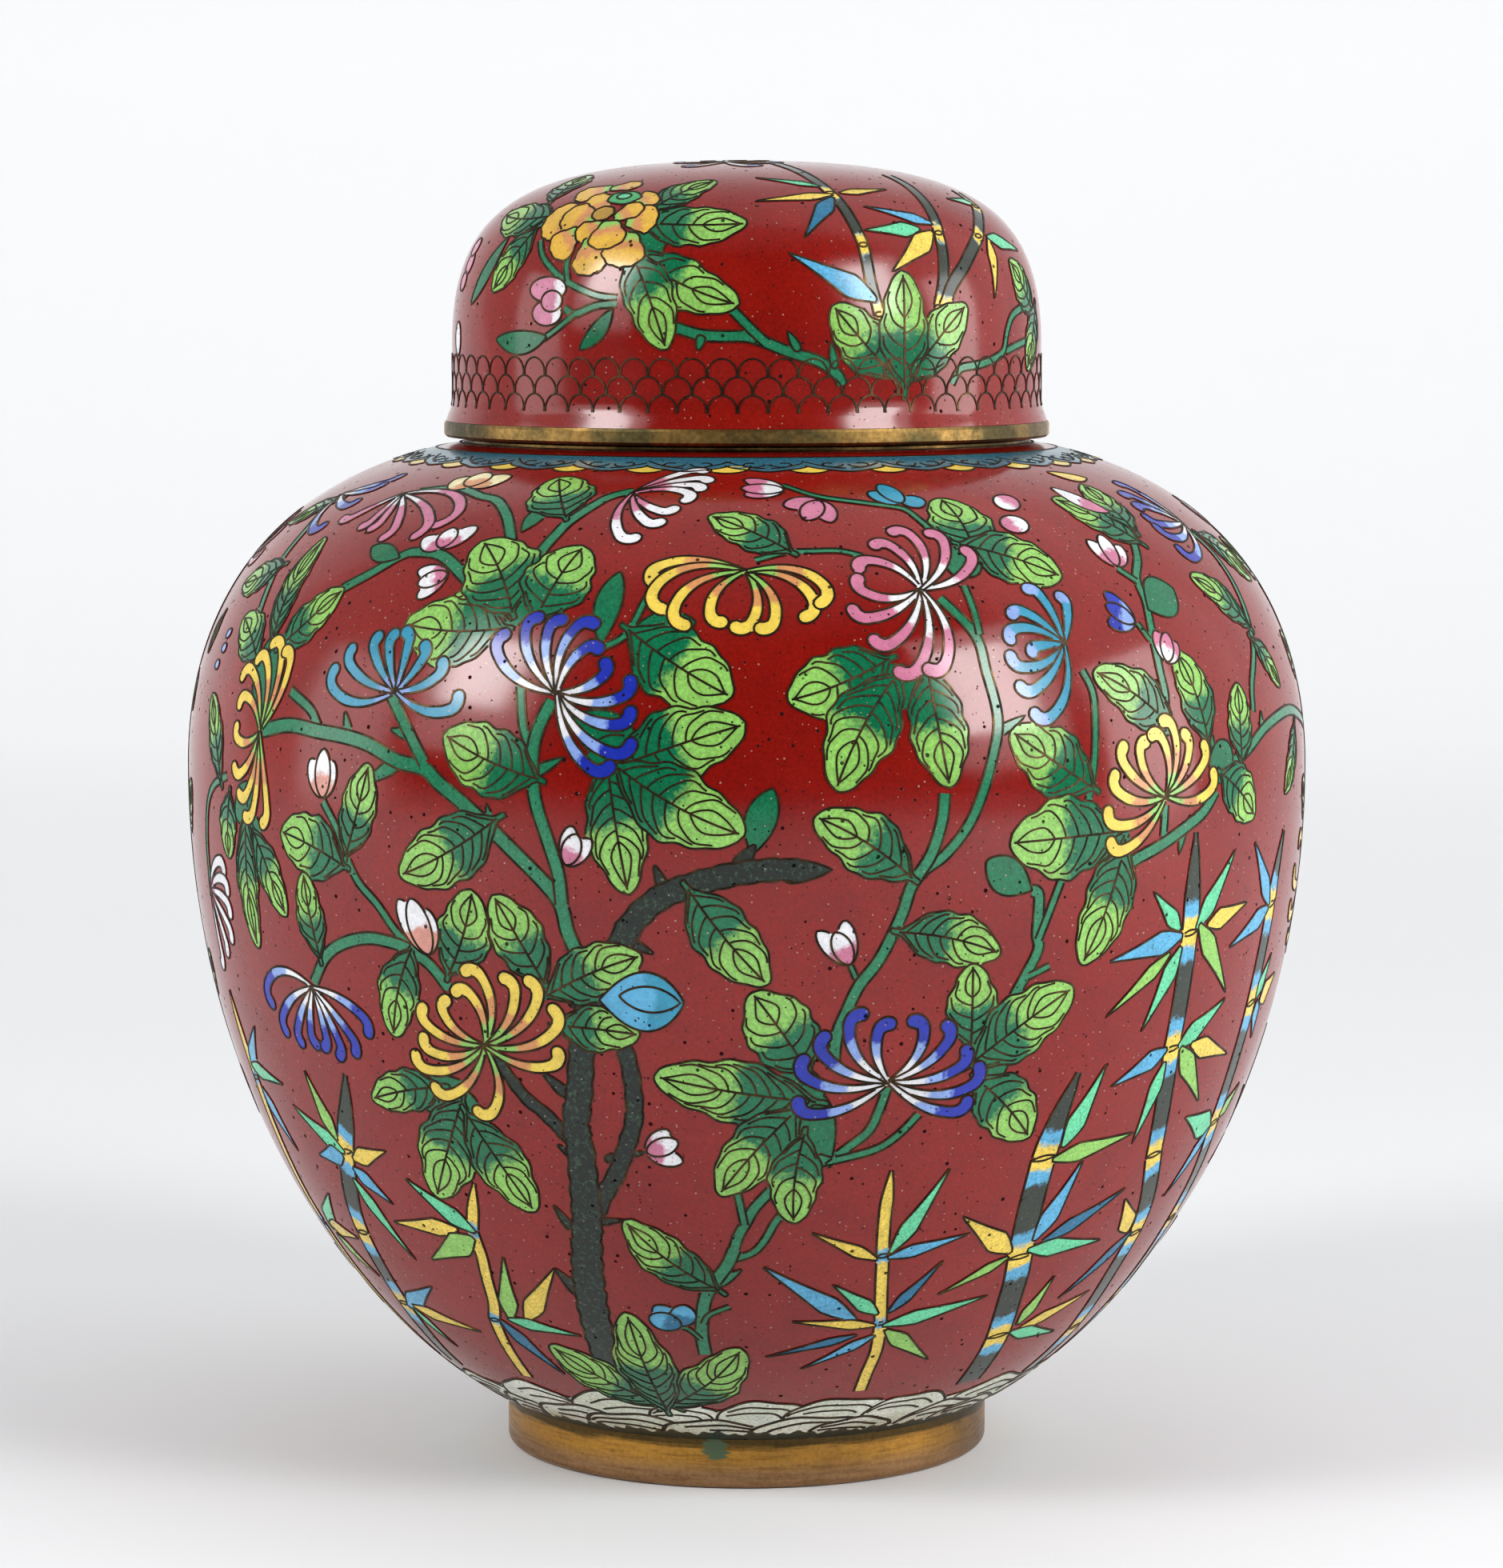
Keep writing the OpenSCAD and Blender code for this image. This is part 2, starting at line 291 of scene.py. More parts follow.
def add_solid(batch, skin, flat, faces, mirror, inks, marks):
    """Closes a patch of skin: a top just above the ground, a bottom inside it, and walls."""
    used = sorted({i for f in faces for i in f})
    where = {v: i for i, v in enumerate(used)}
    faces = [[where[i] for i in f] for f in faces]
    flat = flat[used]
    az = 180 - flat[:, 0] if mirror else flat[:, 0]
    if mirror:
        faces = [f[::-1] for f in faces]
    edges = {}
    for f in faces:
        for a, b in zip(f, f[1:] + f[:1]):
            edges[(a, b)] = True
    n = len(used)
    walls = [[b, a, a + n, b + n] for a, b in edges if (b, a) not in edges]
    under = [[i + n for i in f[::-1]] for f in faces]
    top = skin.place(az, flat[:, 1], CELL_LIFT)
    bottom = skin.place(az, flat[:, 1], -CELL_DEEP)
    normal = skin.normal(az, flat[:, 1])
    batch.add(np.vstack([top, bottom]), faces + walls + under, np.vstack([normal, -normal]),
              inks, np.vstack([marks[used], marks[used]]))


def lay_wire(batch, skin, line, mirror, width):
    """A closed flat ribbon along a line on the skin."""
    az = 180 - line[:, 0] if mirror else line[:, 0]
    base = skin.place(az, line[:, 1], 0)
    up = skin.normal(az, line[:, 1])
    along = np.gradient(base, axis=0)
    along /= np.maximum(np.linalg.norm(along, axis=1), 1e-12)[:, None]
    across = np.cross(along, up) * width * MM / 2
    high, low = up * WIRE_LIFT * MM, up * -CELL_DEEP * MM
    verts = np.stack([base - across + high, base + across + high, base + across + low,
                      base - across + low], 1).reshape(-1, 3)
    n = len(line)
    faces = [[3, 2, 1, 0], [4 * n - 4, 4 * n - 3, 4 * n - 2, 4 * n - 1]]
    for i in range(n - 1):
        for k in range(4):
            a, b = 4 * i + k, 4 * i + (k + 1) % 4
            faces.append([a, b, b + 4, a + 4])
    batch.add(verts, faces)


def boxes_meet(a, b):
    """Whether the boxes round two outlines overlap."""
    return (a["low"] < b["high"]).all() and (b["low"] < a["high"]).all()


def cut_cells(sheet):
    """Every cell that still shows: its flat mesh and, for each point, how far along the spine it lies."""
    solids = []
    for i, c in enumerate(sheet.cells):
        flat, faces = cut_cell(c, [o for o in sheet.cells[i + 1:] if boxes_meet(o, c)])
        if faces:
            spine = c["spine"] * c["grow"]
            far = np.append(0, np.cumsum(np.hypot(*np.diff(spine, axis=0).T)))
            gaps = ((flat * c["grow"])[:, None] - spine[None]) ** 2
            along = far[gaps.sum(-1).argmin(1)]
            marks = np.column_stack([along, np.tile(c["cuts"], (len(flat), 1))])
            solids.append((c, flat, faces, marks))
    return solids


def shown_runs(sheet):
    """The stretches of wire that no later cell hides, with their widths."""
    runs = []
    for line, order, width in sheet.wires:
        box = {"low": line.min(0), "high": line.max(0)}
        shown = np.ones(len(line), bool)
        for o in sheet.cells[order:]:
            if boxes_meet(o, box):
                shown &= ~inside(line, o["poly"])
        edges = np.flatnonzero(np.diff(np.concatenate([[0], shown.astype(int), [0]])))
        for a, b in zip(edges[::2], edges[1::2]):
            if b - a > 1:
                runs.append((line[a:b], width))
    return runs


def build(sheet, prefix, body, mirrored=True):
    """Makes the pieces of one sheet and, where mirrored, the same pieces once more behind."""
    solids = cut_cells(sheet)
    runs = shown_runs(sheet)
    for mirror in ((False, True) if mirrored else (False,)):
        where = "back" if mirror else "front"
        batches = {}
        for c, flat, faces, marks in solids:
            batch = batches.setdefault(c["kind"], Batch())
            add_solid(batch, sheet.skin, flat, faces, mirror, c["inks"], marks)
        for kind, batch in batches.items():
            make_piece(f"{prefix}_{kind}_{where}", batch, enamels[kind], body)
        wires = Batch()
        for line, width in runs:
            lay_wire(wires, sheet.skin, line, mirror, width)
        make_piece(f"{prefix}_wires_{where}", wires, wire_metal, body)


# ---------------------------------------------------------------- colours and materials

def linear(r, g, b):
    """An sRGB colour from 0 to 255 as linear light."""
    return tuple(c / 12.92 if c <= 0.04045 else ((c + 0.055) / 1.055) ** 2.4
                 for c in (r / 255, g / 255, b / 255))


RED = linear(122, 15, 9)
RED_WARM = linear(132, 23, 15)
RED_DARK = linear(102, 11, 8)
LEAF = linear(14, 104, 68)
LIME = linear(136, 190, 92)
STEM = linear(34, 118, 82)
BARK = linear(12, 24, 17)
WHITE = linear(226, 226, 230)
SKY = linear(132, 160, 218)
ROYAL = linear(30, 46, 160)
TURQUOISE = linear(48, 140, 172)
YELLOW = linear(226, 196, 80)
PEACH = linear(200, 136, 84)
BLUSH = linear(206, 142, 128)
PINK = linear(192, 112, 142)
CREAM = linear(232, 222, 170)
OLIVE = linear(42, 50, 42)
AQUA = linear(84, 164, 204)
MINT = linear(96, 200, 150)
DEEP = linear(26, 104, 140)
TEAL = linear(46, 104, 124)
GOLD = linear(214, 168, 62)
BRONZE = linear(170, 132, 52)
LEAF_PALE = linear(60, 160, 96)
ROCK = linear(208, 212, 190)
ROCK_BLUE = linear(160, 178, 172)
ROCK_PALE = linear(228, 230, 216)
ROCK_LOW_TEAL = linear(60, 104, 104)
PIT = (0.006, 0.005, 0.005)
SPECK = (0.42, 0.32, 0.26)
DRIP_PLACE = (-0.0047, -0.0376, 0.0060)


class Paint:
    """A node tree with short ways to add to it; an input takes a number, a colour or another output."""

    def __init__(self, tree, shader, coords="Object"):
        self.tree = tree
        self.shader = shader
        self.coords = self.node("ShaderNodeTexCoord").outputs[coords]

    def feed(self, socket, value):
        if isinstance(value, bpy.types.NodeSocket):
            self.tree.links.new(value, socket)
        elif socket.type == "RGBA":
            socket.default_value = (*value, 1.0)
        else:
            socket.default_value = value

    def node(self, kind, inputs=(), **settings):
        made = self.tree.nodes.new(kind)
        for key, value in settings.items():
            setattr(made, key, value)
        for key, value in dict(inputs).items():
            self.feed(made.inputs[key], value)
        return made

    def set(self, name, value):
        self.feed(self.shader.inputs[name], value)

    def noise(self, scale, detail=2.0, rough=0.5, vector=None):
        vector = self.coords if vector is None else vector
        inputs = {"Vector": vector, "Scale": scale, "Detail": detail, "Roughness": rough}
        return self.node("ShaderNodeTexNoise", inputs).outputs["Fac"]

    def ramp(self, value, low, high, out_low=0.0, out_high=1.0):
        inputs = {"Value": value, "From Min": low, "From Max": high, "To Min": out_low, "To Max": out_high}
        return self.node("ShaderNodeMapRange", inputs).outputs["Result"]

    def mix(self, share, a, b, blend="MIX"):
        inputs = {0: share, 6: a, 7: b}
        return self.node("ShaderNodeMix", inputs, data_type="RGBA", blend_type=blend).outputs[2]

    def calc(self, operation, a, b=0.0):
        return self.node("ShaderNodeMath", {0: a, 1: b}, operation=operation).outputs[0]

    def axes(self, vector=None):
        vector = self.coords if vector is None else vector
        return self.node("ShaderNodeSeparateXYZ", {"Vector": vector}).outputs

    def bump(self, height, strength, distance):
        inputs = {"Strength": strength, "Distance": distance, "Height": height}
        self.set("Normal", self.node("ShaderNodeBump", inputs).outputs["Normal"])

    def pits(self, spacing, radius, share):
        """1 in small round pits scattered over the surface, 0 elsewhere; measures in millimetres."""
        spots = self.node("ShaderNodeTexVoronoi", {"Vector": self.coords, "Scale": 1 / (spacing * MM)})
        pick = self.node("ShaderNodeSeparateColor", {"Color": spots.outputs["Color"]})
        size = radius / spacing
        reach = self.ramp(pick.outputs["Red"], 1 - share, 1.0, 0.0, size)
        return self.ramp(self.calc("SUBTRACT", reach, spots.outputs["Distance"]), 0.0, 0.1 * size)


def new_paint(name):
    """A new material and the paint on it."""
    material = bpy.data.materials.new(name)
    material.use_nodes = True
    tree = material.node_tree
    return material, Paint(tree, tree.nodes["Principled BSDF"])


def polish(p, roughness):
    """Uneven gloss, dull pits and a slightly wavy surface; gives back where the pits are."""
    dark = p.calc("MAXIMUM", p.pits(1.7, 0.36, 0.6), p.pits(0.8, 0.16, 0.7))
    gloss = p.ramp(p.noise(45, 4.0), 0.3, 0.75, roughness - 0.05, roughness + 0.08)
    p.set("Roughness", p.calc("ADD", gloss, p.calc("MULTIPLY", dark, 0.4)))
    p.set("Specular IOR Level", p.calc("MULTIPLY", p.calc("SUBTRACT", 1.0, dark), 0.45))
    waves = p.calc("MULTIPLY", p.noise(190, 2.0), 0.8)
    p.bump(p.calc("SUBTRACT", waves, dark), 0.22, 0.06 * MM)
    return dark


def finish_enamel(p, colour, roughness, grain):
    """Fine grain, dark and pale specks, and the polish."""
    fine = p.noise(2100, 3.0, 0.7)
    colour = p.mix(1.0, colour, p.ramp(fine, 0.32, 0.68, 1 - grain, 1 + 0.8 * grain), "MULTIPLY")
    dark = polish(p, roughness)
    pale = p.pits(0.9, 0.17, 0.6)
    colour = p.mix(p.calc("MULTIPLY", dark, 0.9), colour, PIT)
    p.set("Base Color", p.mix(p.calc("MULTIPLY", pale, 0.5), colour, SPECK))


def red_enamel(name):
    """Red enamel with broad and small drifts of warmer and darker red."""
    material, p = new_paint(name)
    colour = p.mix(p.ramp(p.noise(22, 3.0), 0.35, 0.7), RED, RED_WARM)
    colour = p.mix(p.ramp(p.noise(120, 4.0, 0.6), 0.45, 0.75, 0.0, 0.5), colour, RED_DARK)
    finish_enamel(p, colour, 0.13, 0.22)
    return material


def lining_enamel(name):
    """Turquoise enamel for the insides and under the base, with pits but no specks."""
    material, p = new_paint(name)
    p.set("Base Color", p.mix(p.noise(60, 4.0), TURQUOISE, TEAL))
    polish(p, 0.13)
    return material


def painted_enamel(name, roughness=0.15, grain=0.3, ragged=1.1, blend=0.4, speckle=0.0):
    """Enamel whose two or three colours meet in a ragged line along the cell."""
    material, p = new_paint(name)
    inks = [p.node("ShaderNodeAttribute", attribute_name=f"ink{i}").outputs["Color"] for i in range(3)]
    marks = p.axes(p.node("ShaderNodeAttribute", attribute_name="marks").outputs["Vector"])
    along = p.calc("ADD", marks["X"], p.ramp(p.noise(900, 3.0, 0.65), 0.2, 0.8, -ragged, ragged))
    colour = inks[0]
    for ink, cut in ((inks[1], "Y"), (inks[2], "Z")):
        past = p.calc("SUBTRACT", along, marks[cut])
        colour = p.mix(p.ramp(past, -blend, blend), colour, ink)
    blotch = p.ramp(p.noise(260, 3.0, 0.6), 0.42, 0.75, 0.0, 0.35)
    colour = p.mix(blotch, colour, (0.35, 0.35, 0.35), "MULTIPLY")
    if speckle:
        specks = p.noise(1500, 4.0, 0.7)
        colour = p.mix(p.ramp(specks, 0.52, 0.68, 0.0, speckle), colour, (0.05, 0.11, 0.06))
        colour = p.mix(p.ramp(specks, 0.52, 0.40, 0.0, speckle), colour, (0.004, 0.008, 0.006))
    finish_enamel(p, colour, roughness, grain)
    return material


def rock_enamel(name):
    """Grey-green enamel with paler and bluer drifts, and patchy darker teal towards the foot."""
    material, p = new_paint(name)
    colour = p.mix(p.ramp(p.noise(90, 4.0, 0.6), 0.4, 0.62), ROCK, ROCK_PALE)
    colour = p.mix(p.ramp(p.noise(260, 4.0, 0.6), 0.5, 0.8, 0.0, 0.6), colour, ROCK_BLUE)
    # Darker teal in patches, from 9 mm high down to 6.6 mm
    low_teal = p.ramp(p.axes()["Z"], 9.0 * MM, 6.6 * MM)
    low_teal = p.calc("MULTIPLY", low_teal, p.ramp(p.noise(420, 3.0, 0.6), 0.42, 0.62))
    colour = p.mix(p.calc("MULTIPLY", low_teal, 0.8), colour, ROCK_LOW_TEAL)
    finish_enamel(p, colour, 0.18, 0.3)
    return material


def foot_metal(name):
    """Golden-brown brass: fine level streaks, a dark upper edge, browner lower down, one green drip."""
    material, p = new_paint(name)
    level = p.node("ShaderNodeMapping", {"Vector": p.coords, "Scale": (1.0, 1.0, 14.0)}).outputs["Vector"]
    streak = p.noise(130, 5.0, 0.62, level)
    height = p.axes()["Z"]
    colour = p.mix(p.ramp(height, 2.2 * MM, 4.6 * MM), linear(158, 122, 86), linear(188, 138, 62))
    colour = p.mix(p.ramp(streak, 0.48, 0.72, 0.0, 0.7), colour, linear(120, 84, 50))
    colour = p.mix(p.ramp(p.noise(34, 4.0, 0.6), 0.48, 0.7, 0.0, 0.75), colour, linear(92, 70, 46))
    edge = p.calc("ADD", height, p.ramp(streak, 0.2, 0.8, -0.6 * MM, 0.6 * MM))
    colour = p.mix(p.ramp(edge, 6.0 * MM, 6.8 * MM, 0.0, 0.85), colour, linear(56, 52, 36))
    fine = p.ramp(p.noise(1500, 3.0, 0.6), 0.4, 0.7, 0.0, 0.35)
    colour = p.mix(fine, colour, (0.3, 0.26, 0.22), "MULTIPLY")
    spot = p.node("ShaderNodeVectorMath", {0: p.coords, 1: DRIP_PLACE}, operation="DISTANCE")
    reach = p.calc("ADD", spot.outputs["Value"], p.ramp(streak, 0.3, 0.7, -0.9 * MM, 0.9 * MM))
    drip = p.ramp(reach, 2.1 * MM, 1.6 * MM)
    p.set("Base Color", p.mix(drip, colour, linear(72, 92, 58)))
    p.set("Metallic", p.ramp(drip, 0.0, 1.0, 1.0, 0.0))
    p.set("Roughness", p.ramp(streak, 0.3, 0.75, 0.30, 0.48))
    p.bump(streak, 0.3, 0.06 * MM)
    return material


def metal(name, base, dark, bright, roughness, scale):
    """Old metal: patchy tarnish, brighter rubbed patches and fine scratches."""
    material, p = new_paint(name)
    p.set("Metallic", 1.0)
    patch = p.noise(scale, 5.0, 0.62)
    fine = p.noise(1400, 3.0, 0.6)
    colour = p.mix(p.ramp(patch, 0.42, 0.62), dark, base)
    colour = p.mix(p.ramp(patch, 0.62, 0.78), colour, bright)
    p.set("Base Color", p.mix(p.ramp(fine, 0.35, 0.7, 0.0, 0.6), colour, (0.25, 0.22, 0.2), "MULTIPLY"))
    p.set("Roughness", p.ramp(patch, 0.35, 0.75, roughness + 0.16, roughness - 0.08))
    p.bump(fine, 0.35, 0.08 * MM)
    return material


red = red_enamel("red_enamel")
lining = lining_enamel("lining_enamel")
wire_metal = metal("wire", linear(84, 66, 46), linear(50, 42, 34), linear(120, 96, 62), 0.42, 300)
foot_brass = foot_metal("foot_brass")
rim_brass = metal("rim_brass", linear(168, 132, 74), linear(92, 82, 52), linear(208, 172, 104), 0.34, 110)
neck_brass = metal("neck_brass", linear(150, 118, 68), linear(96, 78, 48), linear(190, 158, 98), 0.36, 90)
copper = metal("copper", linear(150, 88, 62), linear(92, 56, 42), linear(186, 120, 88), 0.4, 80)
enamels = {
    "green": painted_enamel("green_enamel", 0.15, 0.3, 1.6, 1.0),
    "flower": painted_enamel("flower_enamel", 0.17, 0.12, 0.7),
    "bamboo": painted_enamel("bamboo_enamel", 0.16, 0.3, 0.8),
    "bark": painted_enamel("bark_enamel", 0.22, 0.4, 0.8, speckle=0.65),
    "rock": rock_enamel("rock_enamel"),
    # Dark, dull enamel for the uneven band just above the foot ring
    "rim": painted_enamel("foot_dark_rim", 0.4, 0.4),
    "cloud": painted_enamel("cloud_enamel", 0.18),
}
enamel_slots = {kind: f"{kind}_enamel" for kind in enamels}
enamel_slots["rim"] = "rock_enamel"


# ---------------------------------------------------------------- motifs

LEAF_SPLIT = 0.58  # share of a leaf's length at which it turns lime
PETAL_W, PETAL_ROOT = 1.9, 0.26  # full width and half width at the centre
STALK_GAP = 0.6
SPEAR_GROW = 1.15  # the bamboo blades are drawn this much wider than listed


def axis_of(sheet, base, tip):
    """Local frame of a motif that runs from base to tip: origin, base, direction, left normal, length."""
    at = ((base[0] + tip[0]) / 2, (base[1] + tip[1]) / 2)
    start, end = sheet.to_local(at, [base, tip])
    length = float(np.hypot(*(end - start)))
    along = (end - start) / length
    return at, start, along, np.array([-along[1], along[0]]), length


def leaf(sheet, base, tip, width, veins=0):
    """A lumpy, veined leaf, dark green at its base and lime towards its tip."""
    at, start, along, left, length = axis_of(sheet, base, tip)
    # The leaf begins a little behind its base, under what it grows from
    start = start - 0.14 * length * along
    length *= 1.14
    seed = math.sin(base[0] * 12.9 + tip[1] * 7.3)
    bend = 0.05 * seed

    def half(t):
        t = np.clip(t, 0, 1)
        lumps = 1 + 0.05 * np.sin(14 * t + 5 * seed) + 0.045 * np.sin(31 * t + 9 * seed)
        full = 0.46 * width * (np.sin(np.pi * t ** 0.95) * 0.995 + 0.005) ** (0.88 - 0.3 * t) * lumps
        return np.maximum(full, 0.42 * (t < 0.1))

    def at_t(t, off):
        t = np.asarray(t, float)
        middle = bend * length * 4 * np.clip(t, 0, 1) * (1 - t)
        return start + np.outer(t * length, along) + np.outer(middle + off, left)

    t = np.concatenate([[-0.08, -0.04], np.linspace(0, 1, 40)])
    outline = np.vstack([at_t(t, half(t)), at_t(t[::-1], -half(t[::-1]))[1:]])
    sheet.cell(at, outline, at_t(t, 0), (LEAF, LIME), (LEAF_SPLIT * length, NO_CUT))
    sheet.wire(at, outline, closed=True)
    sheet.wire(at, at_t(np.linspace(0, 0.96, 20), 0))
    # Side veins in pairs that sweep forward, then a loop round the tip
    u = np.linspace(0, 1, 12)
    veins = veins or max(3, round(length * 0.29))
    for k in range(veins):
        first = 0.04 + 0.6 * k / veins
        reach = 0.2 + 0.14 * k / veins
        for turn in (1, -1):
            ts = first + 0.02 * turn + reach * u ** 1.4
            share = 0.86 * (1 - (1 - u) ** 2.1)
            sheet.wire(at, at_t(ts, turn * half(ts) * share), width=FINE_WIRE)
    ts = 0.6 + 0.34 * u
    for turn in (1, -1):
        sheet.wire(at, at_t(ts, turn * half(ts) * 0.42 * np.sin(np.pi * u) ** 0.8), width=FINE_WIRE)


def blade(sheet, base, tip, width, inks=(LEAF,), bend=0.0, fullest=0.35, kind="green", cut=NO_CUT,
          sharp=0.85):
    """A plain pointed cell, widest at the given share of its length; bend pushes its middle to the left."""
    at, start, along, left, length = axis_of(sheet, base, tip)
    power = fullest / (1 - fullest)
    peak = fullest ** power * (1 - fullest)
    t = np.linspace(0, 1, 26)
    half = width / 2 * (t ** power * (1 - t) / peak) ** sharp
    middle = bend * length * 4 * t * (1 - t)

    def at_t(off):
        return start + np.outer(t * length, along) + np.outer(middle + off, left)

    outline = np.vstack([at_t(half), at_t(-half)[::-1][1:-1]])
    sheet.cell(at, outline, at_t(0), inks, (cut * length if cut < NO_CUT else NO_CUT, NO_CUT), kind)
    sheet.wire(at, outline, closed=True)


def spear(sheet, base, tip, width, ink):
    """A bamboo blade: a short wedge at the stalk, then straight edges to a long point."""
    at, start, along, left, length = axis_of(sheet, base, tip)
    t = np.array([-0.05, 0.15, 0.27, 0.6, 1.0])
    half = width * np.array([0.1, 0.38, 0.48, 0.25, 0.02])
    spine = start + np.outer(t * length, along)
    off = np.outer(half, left)
    outline = np.vstack([spine + off, (spine - off)[::-1]])
    sheet.cell(at, outline, resample(spine, 0.7), (ink,), kind="bamboo")
    sheet.wire(at, outline, closed=True)


def ribbon(sheet, points, width, inks=(STEM,), kind="green", end_width=None):
    """A stem or branch of the given width along a curve, with a wire down each side."""
    at = points[len(points) // 2]
    line = smooth_line(sheet.to_local(at, points))
    share = np.linspace(0, 1, len(line))
    half = (width + ((end_width or width) - width) * share)[:, None] / 2
    if kind == "bark":
        reach = np.arange(len(line))[:, None] * 0.7
        half = half * (1 + 0.07 * np.sin(1.9 * reach + at[1]) + 0.06 * np.sin(4.3 * reach + at[0]))
    off = normals_of(line) * half
    sheet.cell(at, np.vstack([line + off, (line - off)[::-1]]), line, inks, kind=kind)
    sheet.wire(at, line + off)
    sheet.wire(at, line - off)


def petal(sheet, centre, tip, curl, inks, cuts):
    """A long petal that widens from the flower's centre to a round, curled end."""
    end = sheet.to_local(centre, tip)[0]
    rows = 30
    t = np.linspace(0, 1, rows)
    hook = math.copysign(80, curl) * np.clip((t - 0.78) / 0.22, 0, 1) ** 1.3
    heading = np.radians(-curl * 0.8 * t ** 1.5 - hook)
    steps = np.stack([np.cos(heading), np.sin(heading)], -1)
    line = np.vstack([[0, 0], np.cumsum(steps[:-1], axis=0)])
    reach = line[-1]
    size = np.hypot(*end) / np.hypot(*reach)
    turn = math.atan2(end[1], end[0]) - math.atan2(reach[1], reach[0])
    line = line @ np.array([[math.cos(turn), math.sin(turn)], [-math.sin(turn), math.cos(turn)]]) * size
    length = size * (rows - 1)
    swell = 0.86 * np.clip(t * 1.6, 0, 1) + 0.32 * np.clip(4 * t - 2.9, 0, 1)
    half = PETAL_ROOT + (PETAL_W / 2 - PETAL_ROOT) * swell
    off = normals_of(line) * half[:, None]
    d = line[-1] - line[-2]
    d /= np.hypot(*d)
    left = np.array([-d[1], d[0]])
    a = np.radians(np.linspace(90, -90, 9)[1:-1])
    cap = line[-1] + half[-1] * (np.outer(np.cos(a), d) + np.outer(np.sin(a), left))
    outline = np.vstack([line + off, cap, (line - off)[::-1]])
    sheet.cell(centre, outline, line, inks, (cuts[0] * length, cuts[1] * length), "flower")
    sheet.wire(centre, outline, closed=True)


def flower(sheet, centre, inks, cuts, tips):
    """A chrysanthemum: each petal has its tip's place and how far it curls."""
    for az, s, curl in tips:
        petal(sheet, centre, (az, s), curl, inks, cuts)


def bud(sheet, base, tips, inks, width):
    """A closed bud: pointed petals from one base, the second one in front."""
    for tip in [tips[0], *tips[2:], tips[1]]:
        blade(sheet, base, tip, width * 1.3, inks, fullest=0.5, kind="flower", cut=0.5, sharp=0.62)


def blob(sheet, centre, wide, high, inks, turn=0.0, kind="flower", lobes=0, cut=NO_CUT):
    """A rounded cell; lobes adds a scalloped edge."""
    a = np.linspace(0, 2 * np.pi, 37)[:-1]
    swell = 1 + (0.05 * np.cos(lobes * a) if lobes else 0)
    c, s = math.cos(math.radians(turn)), math.sin(math.radians(turn))
    xy = np.stack([wide / 2 * np.cos(a), high / 2 * np.sin(a)], -1) * np.reshape(swell, (-1, 1))
    xy = xy @ np.array([[c, s], [-s, c]])
    spine = np.outer(np.linspace(-1, 1, 16), np.array([c, s]) * wide / 2)
    sheet.cell(centre, xy, spine, inks, (cut * wide if cut < NO_CUT else NO_CUT, NO_CUT), kind)
    sheet.wire(centre, xy, closed=True)


def lens(sheet, at, width, slope):
    """The pair of wires round a bamboo node."""
    x = np.linspace(-width / 2, width / 2, 12)
    bow = 0.42 * np.cos(np.pi * x / width)
    for turn in (1, -1):
        sheet.wire(at, np.stack([x, slope * x + turn * bow], -1))


def stalk(sheet, points, width, nodes, bands, slope, spiked, pale):
    """A bamboo stalk drawn downwards, banded at its nodes, which are given as indices of points."""
    last = len(points) - 1
    own, banded = (YELLOW, (AQUA, YELLOW)) if pale else (OLIVE, (YELLOW, AQUA, OLIVE))
    stops = [0, *nodes, last]
    for i, j in zip(stops, stops[1:]):
        part = points[i:j + 1]
        at = part[len(part) // 2]
        line = smooth_line(sheet.to_local(at, part), STALK_GAP)
        half = np.full(len(line), width / 2)
        if i == 0 and spiked:
            reach = np.linspace(0, 1, len(line)) * (STALK_GAP * (len(line) - 1))
            half *= np.clip(reach / (2.6 * width), 0.08, 1) ** 0.6
        off = normals_of(line) * half[:, None]
        middle = len(line) // 2
        for run, way, plain in ((slice(0, middle + 1), 1, i == 0), (slice(middle, None), -1, j == last)):
            ring = np.vstack([(line + off)[run], (line - off)[run][::-1]])
            if plain:
                sheet.cell(at, ring, line[run], (own,), kind="bamboo")
            else:
                sheet.cell(at, ring, line[run][::way], banded, bands, "bamboo")
        sheet.wire(at, line + off)
        sheet.wire(at, line - off)
    for i in nodes:
        lens(sheet, points[i], width, slope)


# ---------------------------------------------------------------- the body's decoration
# Every place is (angle from the front, length up the outline), in degrees and millimetres.

body = Sheet(body_skin)
ROCK_PITCH = 14.5  # degrees between two rocks of a row
FOOT_S = 0.25  # where the rocks begin, just above the foot ring


def rock_edge(az):
    """Length up the outline at which the rocks end."""
    return 12.9 + 0.5 * math.sin(math.radians(az * 7 + 40)) + 0.5 * math.sin(math.radians(az * 17 + 10))


